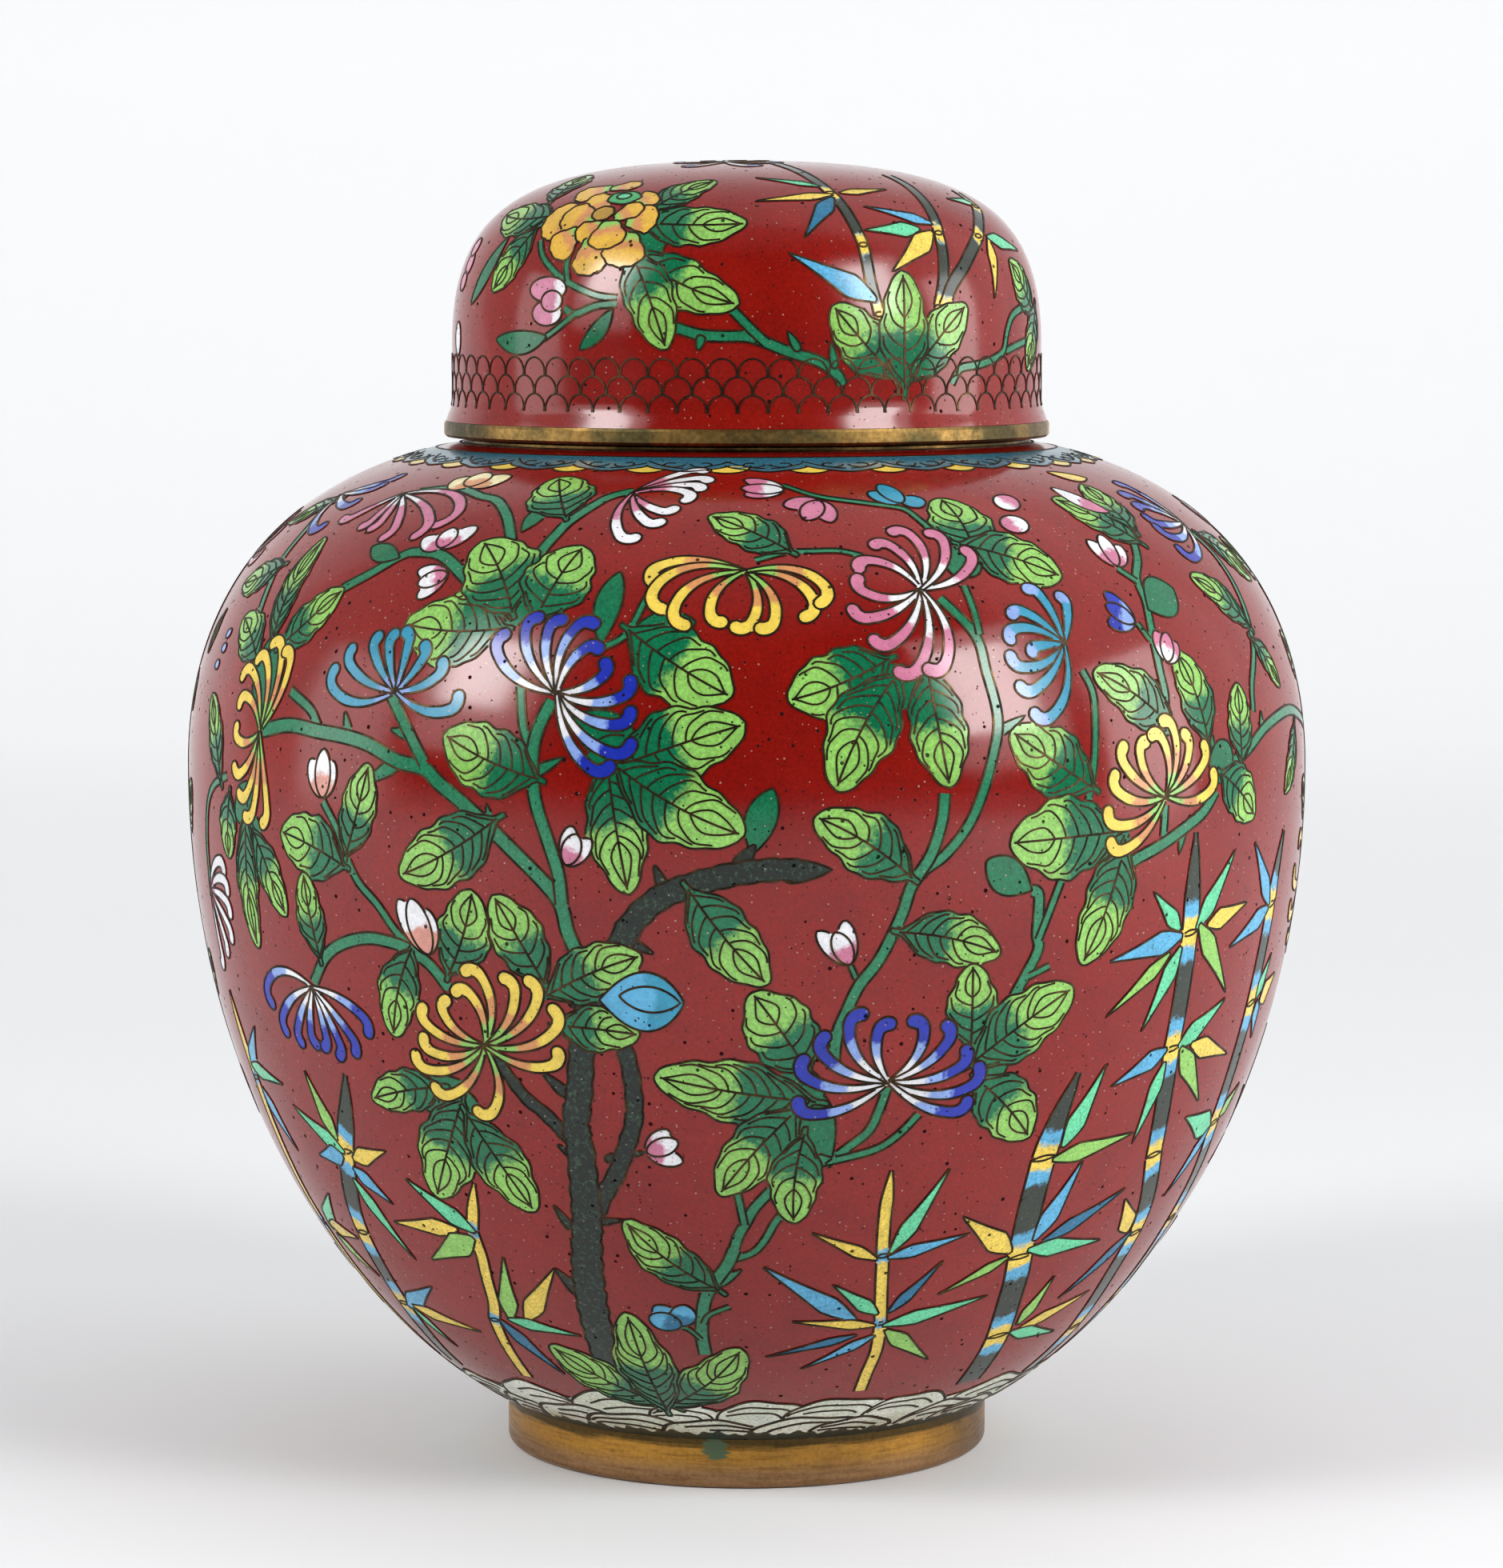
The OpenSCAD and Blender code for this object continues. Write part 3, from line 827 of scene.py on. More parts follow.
def rocks(sheet, first, last):
    """Pale rocks round the foot, with flowing dark contours."""
    step = 15
    for a in range(first, last, step):
        edge = [(az, rock_edge(az)) for az in np.linspace(a, a + step, 16)]
        foot = [(az, FOOT_S) for az in np.linspace(a + step, a, 16)]
        at = (a + step / 2, 8.0)
        spine = sheet.to_local(at, [(a + step / 2, s) for s in np.linspace(16, 0.3, 12)])
        sheet.cell(at, sheet.to_local(at, edge + foot), spine, (ROCK,), kind="rock")
        sheet.wire(at, sheet.to_local(at, edge))
    draw = random.Random(11)
    count = int((last - first) / ROCK_PITCH)
    for row, base in enumerate((8.9, 3.2)):
        for k in range(count):
            az = first + (last - first) * (k + 0.45 * row + 0.45 * draw.random()) / count
            s = base + draw.uniform(-0.7, 0.7)
            half = draw.uniform(5.4, 9.4)
            tall = draw.uniform(5.6, 7.2)
            lobe(sheet, (az, s), half, tall, draw, 0.46 + 0.24 * row)
    # A dark, uneven rim next to the foot ring
    for a in range(first, last, step):
        at = (a + step / 2, 0.6)
        upper = [(az, 3.6 + 0.7 * math.sin(az * 1.9) + 0.6 * math.sin(az * 0.7))
                 for az in np.linspace(a, a + step, 26)]
        lower = [(az, FOOT_S) for az in np.linspace(a + step, a, 26)]
        sheet.cell(at, sheet.to_local(at, upper + lower), [(-2, 0), (2, 0)], (OLIVE,), kind="rim")


def lobe(sheet, at, half, tall, draw, thick):
    """One rock: a lumpy crest with flowing lines below it that gather at one end."""
    a = np.linspace(0, np.pi, 30)
    flow = draw.choice((-1, 1))
    lump = draw.uniform(0, 6)

    def crest(share):
        x = half * np.cos(a) * (0.45 + 0.55 * share) + flow * half * 0.4 * (1 - share)
        y = tall * share * np.sin(a) ** 0.8 * (1 + 0.07 * np.sin(5 * a + lump))
        return np.stack([x, y + 0.4 * np.sin(3 * a + lump) * (1 - share)], -1)

    top = crest(1.0)
    low = 0.4 - at[1]
    under = [(x, max(low, -3.0)) for x in np.linspace(-half, half, 12)]
    sheet.cell(at, np.vstack([top, under]), [(0, tall), (0, -1)], (ROCK,), kind="rock")
    sheet.wire(at, top, width=thick)
    for share in (0.68, 0.36):
        line = crest(share)
        first = draw.randint(1, 5)
        last = 29 - draw.randint(0, 10)
        sheet.wire(at, line[first:last], width=0.9 * thick)


def border(sheet):
    """The ring of cloud lappets under the neck, with a pale half flower in each gap."""
    count = 28
    pitch = 360 / count
    low, high = sheet.skin.length - 10.6, sheet.skin.length - 4.4
    half = math.radians(pitch) * float(sheet.skin.radius(low)) / 2
    a = np.radians(np.linspace(0, 180, 17))
    cup = np.stack([3.4 * np.cos(a), -3.0 * np.sin(a) ** 0.8 + 1.0], -1)
    lobes = 1 + 0.09 * np.cos(6 * a - np.pi)
    lap = np.stack([half * 1.02 * np.cos(a), -2.4 * np.sin(a) ** 1.5 * lobes], -1)
    roof = [(half * 1.02 * x, high - low - 2.1) for x in np.linspace(-1, 1, 14)]
    b = np.radians(np.linspace(0, 300, 20))
    shrink = np.linspace(1, 0.4, 20)
    rise = np.linspace(0, 1, 10)
    for k in range(count):
        az = k * pitch + 3.4
        gap = az + pitch / 2
        sheet.cell((gap, low + 0.9), cup, [(0, 1), (0, -1.5)], (YELLOW,), kind="flower")
        sheet.wire((gap, low + 0.9), cup)
        sheet.cell((az, low + 2.1), np.vstack([lap, roof]), [(0, 2), (0, -1.5)], (TEAL,), kind="cloud")
        sheet.wire((az, low + 2.1), lap)
        for turn in (1, -1):
            curl = np.stack([turn * (2.3 - 1.9 * shrink * np.cos(b)), 1.6 - 1.5 * shrink * np.sin(b)], -1)
            sheet.wire((az, low + 1.0), curl, width=FINE_WIRE)
            sweep = np.stack([turn * np.linspace(0.4, half, 10), -1.2 + 3.2 * rise ** 2], -1)
            sheet.wire((az, low + 2.1), sweep, width=FINE_WIRE)
    # Two plain rings, each laid in seven parts
    part = 37
    for s in (high, sheet.skin.length - 0.6):
        ring = [(az, s) for az in np.linspace(0, 360, 7 * part + 1)]
        for i in range(0, 7 * part, part):
            sheet.wires.append((np.array(ring[i:i + part + 1]), len(sheet.cells), WIRE_W))


# Stems: width, centre line
stems = [
    (1.6, [(-51, 169.5), (-44, 171), (-38, 169), (-34.7, 168), (-31.3, 164.5), (-29, 160.5), (-27.5, 157)]),
    (1.8, [(-49, 148.3), (-45.5, 151.5), (-42.5, 154.8), (-40.8, 155.7), (-36.5, 155.3), (-32, 151.7),
        (-28.3, 147.7)]),
    (1.5, [(-62, 137), (-64.5, 146), (-66.5, 152), (-67.5, 158), (-70, 164), (-71, 167)]),
    (1.8, [(-23, 151), (-23.8, 155.5), (-22.6, 161), (-22, 163), (-20, 167), (-18.3, 169.7),
        (-15.5, 171.5)]),
    (1.0, [(-14.5, 140.7), (-12, 143), (-10.3, 149)]),
    (1.1, [(5, 173.5), (9.5, 170), (15.5, 168), (20, 166.5), (21.2, 164.5), (22.5, 160.8)]),
    (0.9, [(1, 155.5), (4.5, 157), (7.5, 157.2), (10.5, 157.2), (13, 156.2)]),
    (1.5, [(20.5, 148.5), (23.5, 142.5), (24, 137), (24.6, 130), (23.8, 124.8), (22.5, 119.2), (21, 114.8),
        (18.8, 111), (16.5, 108.5), (14.8, 104.5)]),
    (1.1, [(23.7, 150.5), (24, 146), (24, 142.5)]),
    (1.5, [(52, 158), (50, 154), (47.5, 150.3), (47, 146.3), (46.4, 143.5), (45.8, 140), (45.5, 135.7),
        (45.5, 132), (44.8, 128)]),
    (1.2, [(45.3, 152.3), (47.3, 149.8)]),
    (1.0, [(44.3, 143), (45.3, 140.3)]),
    (1.4, [(67, 160.5), (68.5, 156), (69, 152.5), (68.4, 147.3), (67, 142), (65, 137), (62, 132),
        (61, 128)]),
    (1.5, [(-51.5, 132), (-47.8, 129.7), (-46.1, 127.3)]),
    (2.1, [(-55.5, 125.7), (-50.8, 127), (-46.2, 126.6), (-42.1, 126.2), (-38.8, 125.3), (-35.2, 123.3),
        (-32, 122.5), (-30.2, 120.5), (-27.2, 117.5), (-23.1, 112.5), (-18.1, 105.2), (-17, 100),
        (-16, 96.5)]),
    (1.8, [(-37, 133), (-35.5, 130.3), (-33.8, 127), (-32, 123.3)]),
    (1.2, [(-63, 118), (-66.9, 116), (-69, 113), (-70, 108), (-70.3, 103), (-70.5, 98.5)]),
    (1.3, [(-44.8, 116.5), (-42.8, 112.5), (-41.6, 108.5), (-40.2, 105.2), (-37.9, 102.2), (-36, 98.8),
        (-34, 96.2)]),
    (1.3, [(-22.3, 135.5), (-21.5, 129), (-20.5, 126)]),
    (1.9, [(-18.8, 133), (-20, 128.8), (-20.4, 124.5), (-20, 118.8), (-18.8, 113.3), (-17.8, 108.5),
        (-17.5, 104)]),
    (1.7, [(18.8, 119.8), (18.5, 116), (17.5, 111.3), (15.6, 106.8), (14.7, 102.7), (12.7, 96.4),
        (10.8, 92.6), (9.7, 88.9), (8.8, 85.2), (8.6, 80)]),
    (1.5, [(14.2, 100.2), (16.2, 99.8)]),
    (0.8, [(9.9, 95.5), (10.5, 93.5)]),
    (1.7, [(28, 105.3), (28.8, 104.5), (28.8, 99), (29.1, 96.7), (27.9, 92.9), (26.6, 89.2), (25, 84)]),
    (1.2, [(31.5, 107.5), (30.3, 103), (29, 98)]),
    (1.0, [(30.5, 94), (28.3, 92.7)]),
    (1.2, [(35, 136.5), (35.8, 133), (35.5, 128), (34.9, 122), (34.1, 117)]),
    (2.6, [(51, 127), (52, 122), (53.5, 119.5)]),
    (1.6, [(53, 120.5), (58, 122), (64, 125.4), (72, 126.8), (79, 125), (84, 123), (90, 122.5)]),
    (1.4, [(44.2, 116), (44, 111.5)]),
    (1.8, [(52.3, 117.2), (50.3, 114.5), (47.4, 112.5), (43.8, 110.3), (40.2, 108.5), (38.4, 106.7)]),
    (1.8, [(-48.5, 89), (-46, 93.3), (-43.4, 95.6), (-39.9, 97), (-37, 96.9), (-34.3, 96), (-31.9, 93.8),
        (-30.1, 90.6)]),
    (1.4, [(14.2, 77), (13.5, 73.2), (12.6, 70), (10.3, 67.2), (8.3, 64.7)]),
    (1.2, [(17.8, 72.5), (16, 69.5), (13.8, 67.2), (10.3, 65.8), (7.5, 65)]),
    (1.6, [(8.6, 66.4), (6.5, 64), (3.3, 61.3), (2.1, 59.6), (0.8, 57.3), (0, 55), (-0.9, 52.5),
        (-1.5, 49.5)]),
    (1.1, [(-1.0, 60.5), (-0.6, 57.5), (-0.2, 54.5)]),
    (1.2, [(5.4, 62), (4.2, 57.2), (3.1, 54.7), (2.2, 52), (0.9, 49.6), (-1.2, 48.3)]),
    (1.9, [(-1.4, 50), (-2.2, 47.2), (-3.9, 43.6), (-5.2, 40), (-5.8, 35.3), (-6, 32), (-5.8, 28)]),
    (0.9, [(-2.1, 38.8), (-4.8, 37), (-5.6, 35)]),
    (0.8, [(-9, 34.4), (-7.6, 33.7), (-6.2, 31.6)]),
    (1.4, [(84.5, 123), (84, 112), (84.5, 102)]),
    (1.4, [(84.2, 123), (84.8, 135), (84, 146), (84, 158)]),
    (1.5, [(-83.5, 50), (-84.8, 65), (-82.8, 80), (-84.6, 95), (-83, 110), (-85, 125), (-83.6, 140),
        (-84.5, 151)]),
]
# Thorns, leaves: base, tip, width
green_thorns = [
    ((-41.5, 126), (-42.6, 130), 1.7), ((-35, 123.2), (-39.2, 119.6), 2.3),
    ((-33.6, 127), (-36.4, 127.8), 1.7), ((47, 112.4), (46.4, 108.6), 1.6),
    ((-3.6, 43.2), (-0.4, 46.4), 1.7), ((-24.4, 114), (-25, 118), 1.5), ((24.4, 128), (27.6, 130.4), 1.5),
    ((-20.2, 122.6), (-17.2, 125), 1.6), ((62.4, 124.4), (63, 128), 1.5),
]
thorns = [
    ((-20.2, 52.6), (-21.9, 57), 1.5), ((-21, 39.5), (-23.9, 45.2), 2.2),
    ((-15, 65.2), (-10.2, 66.9), 1.6), ((-17.2, 54.2), (-13.6, 55), 1.2),
    ((-18.2, 75.4), (-20.8, 79), 1.8), ((-7.4, 105.8), (-8.6, 110.2), 1.8),
    ((-0.8, 109.6), (0.9, 113.2), 2.4), ((3.4, 109.2), (8.0, 109.4), 3.4),
    ((-11.6, 99.4), (-8.6, 97.2), 1.6), ((-17.3, 64.5), (-20.2, 67.4), 1.8),
    ((-15.6, 88.6), (-18.4, 91.4), 1.8),
]
# Trunk and branches: width at the start, width at the end, centre line
trunk = [
    (3.9, 3.1, [(-16.2, 84), (-15.6, 88), (-13, 95), (-11, 101), (-8.4, 105), (-5, 107.3), (-0.6, 109),
        (3.4, 109.5), (5.0, 109.2)]),
    (1.6, 2.2, [(-26, 81.5), (-23.1, 75), (-21, 72.3), (-18.6, 68.5)]),
    (2.4, 2.6, [(-12, 83.3), (-11.5, 80), (-11.3, 75.3), (-11.5, 71.8), (-12.4, 68), (-13.9, 63),
        (-15.7, 59), (-17, 55.5)]),
    (3.6, 4.9, [(-15.9, 85), (-16.3, 82.6), (-16.9, 76.5), (-17.7, 70.9), (-17.6, 66), (-18, 56.5),
        (-18.8, 50), (-19.5, 45), (-20, 40.5)]),
    (4.9, 4.2, [(-19.9, 41.5), (-20.4, 35), (-20.7, 31), (-20.9, 26), (-21, 21)]),
]
plain_leaves = [
    ((-42.5, 154.5), (-48.5, 156.3), 3.5), ((-27.5, 160.5), (-26, 167), 3),
    ((-14.5, 141), (-13.7, 153.3), 4), ((-12, 142.5), (-5, 145), 5), ((26, 158), (23, 152), 6),
    ((46.8, 145), (53, 148.2), 7), ((-57, 112), (-60, 117), 8), ((-55, 127), (-58, 140), 8),
    ((-17, 131), (-10, 125), 7), ((0.5, 111.5), (2.5, 121), 4.5), ((28, 105.3), (23, 110), 5.5),
    ((-29, 76), (-36, 72), 7), ((9, 66), (4, 79), 8),
]
leaves = [
    ((-55, 139.5), (-48.5, 148.5), 8), ((-57.8, 141), (-59.6, 157.5), 7), ((-66, 151), (-75, 147), 7),
    ((-60.5, 136.5), (-67.5, 142), 8), ((-77, 141), (-78, 135), 4), ((-70, 165), (-79, 159), 6),
    ((-26, 145), (-32.5, 148), 9), ((-26.5, 143.5), (-37.3, 143.5), 12),
    ((-23.3, 165.5), (-28.5, 175.5), 11), ((-25.5, 147.5), (-32, 158.5), 13),
    ((-21.5, 146.5), (-18.7, 158), 12), ((-10.5, 142.5), (-1.3, 133.8), 12), ((4, 158), (-4.6, 165), 8),
    ((26.5, 158), (26.3, 169), 11), ((26.6, 157.3), (36.5, 151.3), 11), ((52, 158), (44.5, 168), 9),
    ((54, 160.5), (55, 171.5), 8), ((65.5, 141.5), (58, 150), 7), ((71, 156), (78, 147.5), 8),
    ((66, 137.8), (70.5, 130.5), 5), ((-65.2, 118.5), (-70, 129.7), 6.5),
    ((-41.4, 110.5), (-38.6, 122.7), 7.5), ((-43.2, 107.8), (-51.7, 111.3), 10.5),
    ((-25.3, 114.8), (-35, 106.8), 10.5), ((-21, 122.5), (-30, 127.6), 11),
    ((-62.3, 114.5), (-63.2, 105.5), 7), ((-58.3, 111), (-58.3, 92.5), 7.5),
    ((-56.5, 109.5), (-51.7, 98.5), 7), ((-47, 94.5), (-48.2, 105.8), 7), ((45, 127.5), (36.3, 136.3), 9),
    ((51, 126), (48.7, 138.5), 9), ((57.5, 122), (58.6, 132.6), 8), ((54, 118.8), (60.2, 112.3), 9),
    ((73.7, 123.5), (68.8, 114.5), 6), ((-11, 124.3), (0, 130), 11.5),
    ((-12.8, 122.5), (-11, 105.7), 9.5), ((-10.7, 122.8), (-0.1, 114.3), 11.5),
    ((12.8, 138.5), (3.9, 133.3), 11), ((14, 135), (8.3, 120.5), 11), ((18, 135.5), (19.3, 120.5), 9.5),
    ((14.5, 109), (6.3, 117), 9.5), ((33.8, 120.5), (25.8, 128.3), 10.5),
    ((36.3, 112.8), (25.4, 112.3), 13), ((38.3, 109.5), (34.3, 93.6), 10),
    ((-34.5, 94.5), (-37.8, 82.3), 8), ((-29.6, 94.2), (-26.7, 105.5), 9.5),
    ((-20.2, 93.8), (-24.5, 105), 9), ((-33.8, 74.8), (-43, 71.7), 7.5), ((-31.2, 71.5), (-37.5, 56), 11),
    ((-29.6, 69.4), (-24.3, 55.3), 10), ((-17.8, 86), (-10.3, 85.2), 7.5), ((-18.3, 91.3), (-9.8, 97), 9),
    ((-4.5, 105), (2.1, 92.8), 9.5), ((5, 75.5), (-9.2, 79), 10.5), ((4.5, 72.5), (-3, 59.7), 9.5),
    ((5.5, 81), (0.5, 91.8), 11), ((15.8, 99.7), (25, 96.3), 8.5), ((22.6, 84), (22.1, 95.2), 8.5),
    ((24, 81), (33.7, 90.5), 11), ((24.5, 76.3), (31.3, 67.2), 10), ((5.9, 68), (5.3, 54.7), 8.3),
    ((-4.7, 43.7), (-13.8, 55), 8.5), ((84.2, 110), (78.5, 115), 7), ((84.5, 108), (88.6, 115), 6),
    ((84.7, 132), (79.6, 138), 7.5), ((84.6, 138), (88.4, 147), 6.5), ((84, 148), (79, 155.5), 7),
    ((-84.6, 62), (-79, 69), 8), ((-84, 70), (-88.2, 78), 6.5), ((-83, 83), (-77.6, 88), 7.5),
    ((-84.2, 99), (-88.2, 107), 6.5), ((-83.2, 108), (-77.6, 115), 7.5),
    ((-84.8, 123), (-88.4, 131), 6.5), ((-84.2, 131), (-80.6, 126), 6),
    ((-15.2, 14.8), (-29.5, 28.0), 10), ((-12.5, 14.8), (-0.6, 29.6), 10), ((-14.6, 15), (-15.7, 37), 10),
]
# Green masses where leaves meet: centre, width, height, turn
hubs = [
    ((-12.2, 124.6), 8.5, 7.5, 0), ((14.2, 135.2), 12, 6.5, -10), ((-25.6, 146.2), 8, 6, 0),
    ((37.2, 111.3), 7, 6.5, 0), ((5.2, 76.4), 7.5, 8, 0), ((27, 158), 7, 5, 0),
    ((-57.3, 110.6), 6, 5.5, 0), ((25, 80), 6, 7, 0), ((-31, 72.6), 7, 5.5, 0), ((53.4, 121.4), 7, 6, 40),
]
# Flowers: centre, inks, where the inks change, and for each petal its tip and how far it curls
flowers = [
    ((-53.5, 168.5), (WHITE, PINK, PINK), (0.35, 0.7), [(-40.5, 161.5, 130), (-42.5, 159, 60),
        (-47.7, 158.3, 40), (-51.5, 160, 25), (-53.8, 160.3, 15), (-60, 161.5, 10)]),
    ((-71, 167), (WHITE, SKY, ROYAL), (0.4, 0.65), [(-62, 173.5, -20), (-62.5, 170.5, -30),
        (-62.5, 165.5, -50), (-63.5, 159.5, -90)]),
    ((-15.5, 170.7), (PINK, WHITE), (0.5, 0.9), [(-6.5, 178.5, 30), (-5.5, 175, 50), (-6.3, 172.3, 60),
        (-7.8, 169, 120), (-9.2, 166.5, -60), (-10.5, 163.3, -60), (-13, 159.8, -90)]),
    ((0, 153.5), (LIME, PEACH, YELLOW), (0.3, 0.55), [(-10, 151.5, -100), (-8.6, 147, -150),
        (-6.2, 144.5, -130), (-2.5, 145, -120), (-1, 144.2, 110), (1.5, 144, 120), (6, 145.8, 130),
        (7.7, 148, 130)]),
    ((18.7, 150), (WHITE, PINK, PINK), (0.45, 0.8), [(17.5, 161, -110), (14.8, 158.3, -90),
        (12.3, 154, -110), (12, 152, 120), (11, 146.8, 70), (12.8, 142, 80), (15, 137.2, 80),
        (18, 137.5, 110), (25.5, 156.8, -90), (22, 160.5, -100)]),
    ((33.6, 140.5), (TURQUOISE, TURQUOISE, SKY), (0.5, 0.85), [(35, 148, -30), (31.2, 149.5, -40),
        (28.3, 145.5, -60), (27.3, 141.7, -90), (29.5, 139.6, -20), (27, 139, 90), (27.5, 134.5, 60),
        (28.7, 130.5, 100)]),
    ((-36.3, 133.2), (SKY, TURQUOISE, TURQUOISE), (0.25, 0.7), [(-45.2, 135.8, 110), (-43.5, 139, 60),
        (-40.3, 141.2, 40), (-38.2, 141.7, 20), (-36.8, 142.2, -20), (-33.9, 140.2, -40),
        (-31.3, 137.8, -70), (-28.8, 133, -90)]),
    ((-56, 125.5), (LIME, PEACH, YELLOW), (0.3, 0.55), [(-57.3, 138.7, -120), (-54.3, 137.8, -100),
        (-59.5, 136, -120), (-62, 133.2, -110), (-61.3, 129, -110), (-61.2, 125.5, 110), (-61, 119.5, 90),
        (-59.8, 115.7, 80), (-58.5, 112.5, 60), (-55, 112, 30)]),
    ((-18.4, 134), (WHITE, SKY, ROYAL), (0.42, 0.66), [(-24.9, 142.5, 100), (-21.6, 145.3, 90),
        (-19, 145, 70), (-15.5, 144.5, 90), (-14.7, 140.7, 80), (-13.8, 138.5, -80), (-11.2, 136, -90),
        (-11, 131.5, -90), (-10.8, 127, -90), (-12.8, 123.8, -80)]),
    ((44.3, 117.3), (LIME, PEACH, YELLOW), (0.3, 0.55), [(36.6, 115.8, 90), (37, 111.3, 80),
        (37.5, 121, 90), (38.8, 125, 70), (41.8, 125.5, 110), (42.7, 126.3, -100), (44.5, 128.2, -100),
        (47.5, 126, -80), (50.5, 124, -60), (51.8, 119.8, -90)]),
    ((68.5, 159.8), (WHITE, SKY, ROYAL), (0.35, 0.6), [(65.4, 170.5, -20), (61.5, 167.5, -20),
        (60.7, 164.2, -30), (59.8, 161.8, 30), (59.7, 159.5, 100), (60.3, 154.8, 110)]),
    ((-70.5, 99.5), (PINK, WHITE, WHITE), (0.25, 0.6), [(-65, 103.5, 100), (-64.5, 100.5, 80),
        (-64.5, 97, 50), (-65.2, 93, 30), (-67.5, 90.5, 15), (-70.5, 88, 0)]),
    ((-48.8, 88.3), (WHITE, SKY, ROYAL), (0.4, 0.62), [(-57.5, 84.3, -130), (-55.7, 80.2, -60),
        (-53, 79, -30), (-50.2, 79.2, -30), (-48.8, 79, 20), (-46.5, 78, 25), (-43.8, 79, 25),
        (-41.3, 82.5, 60)]),
    ((-26.7, 82.3), (LIME, PEACH, YELLOW), (0.32, 0.55), [(-28, 93.5, -110), (-29.3, 90.3, -110),
        (-30.6, 88.8, 100), (-33.5, 87.3, 80), (-33.9, 82.7, 90), (-35.3, 79.8, 90), (-33.5, 75, 90),
        (-28.7, 71.8, 120), (-23.8, 92.8, -90), (-21.2, 92.6, -90), (-18.9, 88.5, -100), (-18.8, 82, -90)]),
    ((84.6, 99.5), (LIME, PEACH, YELLOW), (0.3, 0.55), [(78.4, 105.5, -90), (76.4, 101.5, 60),
        (76.6, 96, 90), (79, 91, 90), (82.6, 88.5, 60), (86.4, 89, -60), (88.6, 94.5, -60)]),
    ((-84.6, 151.5), (WHITE, PINK, PINK), (0.4, 0.7), [(-78.6, 152.5, -80), (-79.8, 157.5, -70),
        (-82.6, 160.5, -30), (-85.8, 161, 30), (-88.4, 157.5, 60)]),
    ((14.3, 77.8), (WHITE, SKY, ROYAL), (0.4, 0.62), [(5.2, 75, 80), (5.6, 81.5, 90), (7.6, 85, 80),
        (11.2, 88.3, 110), (14, 86.7, 90), (16.4, 87, -110), (19.9, 86, -70), (22.2, 82, -70),
        (23.8, 79.3, -100), (23, 74, -70)]),
]
# Buds: base, tips of the petals, inks, width
buds = [
    ((-42, 171.5), [(-47, 173.5), (-43, 176.5), (-37, 175.5)], (PEACH, CREAM), 3.4),
    ((-37.3, 156.7), [(-41, 158.5), (-37.5, 161), (-34, 161.5)], (PINK, WHITE), 2.6),
    ((-34.3, 152), [(-38.7, 152.3), (-37.8, 150), (-37, 147.5)], (PINK, WHITE), 2.2),
    ((5.2, 172), [(-0.3, 175.5), (-0.8, 172.5), (-0.3, 170.3)], (WHITE, PINK), 2.4),
    ((9.5, 168.8), [(4.7, 167.4), (7.2, 163.8), (10.3, 163.2)], (PINK, PINK), 2.6),
    ((20.5, 167.8), [(16.5, 171), (19, 173.5), (24, 168.5)], (TURQUOISE, TURQUOISE), 2.6),
    ((45.5, 152.7), [(43.5, 158), (46.5, 159), (48.5, 156.5)], (PINK, WHITE), 2.4),
    ((44, 143.2), [(41.3, 148.5), (40.7, 146.3), (40, 143.3)], (SKY, ROYAL), 2.2),
    ((46.9, 136.8), [(46.5, 141.8), (48.3, 141.3), (49.5, 139.5)], (WHITE, PINK), 2.2),
    ((-44.9, 117), [(-46.8, 122.6), (-44.9, 124.2), (-43.4, 122.6)], (BLUSH, WHITE), 2.6),
    ((-17, 109.7), [(-16.4, 115.4), (-15.9, 114.2), (-14.5, 113.5)], (PINK, WHITE), 2.2),
    ((-32, 95.5), [(-35.3, 103.3), (-33.8, 103.6), (-32, 102.3)], (BLUSH, WHITE), 3.0),
    ((-10.4, 66.7), [(-7.9, 70.5), (-7, 68.7), (-6.6, 65.3)], (PINK, WHITE), 2.2),
    ((9.9, 95.7), [(6.6, 100.6), (8.3, 100.4), (9.2, 102.2)], (PINK, WHITE), 2.2),
    ((84, 158), [(81.6, 163.6), (84, 165.5), (86.4, 163.6)], (PINK, WHITE), 2.8),
    ((-8.6, 34.4), [(-11.8, 38.6), (-12.8, 36.2), (-7.8, 39)], (DEEP, AQUA), 3.0),
]
# Single round petals: centre, width, height, inks, turn
blobs = [
    ((36, 167.3), 5, 4, (WHITE, PINK), 30), ((34.3, 162), 5, 4, (PINK, WHITE), 10),
    ((-70.5, 139), 2.4, 1.6, (SKY,), 20), ((-70.3, 136.7), 2.4, 1.6, (SKY,), 0),
    ((-71, 134), 2.4, 1.6, (SKY,), 0),
]
# Single pointed petals: base, tip, width, inks, bend, widest share, where the ink changes
loose_petals = [
    ((-14.2, 90.3), (-5.9, 90.1), 8.8, (AQUA, TURQUOISE), 0.0, 0.55, 0.55),
    ((-12.2, 91.0), (-6.3, 90.1), 3.8, (AQUA, TURQUOISE), 0.0, 0.5, 0.6),
    ((52.5, 163.5), (47, 171), 4, (PINK, WHITE), 0.1, 0.5, 0.5),
    ((59, 173), (52, 176), 3, (YELLOW,), 0.1, 0.5, NO_CUT),
]
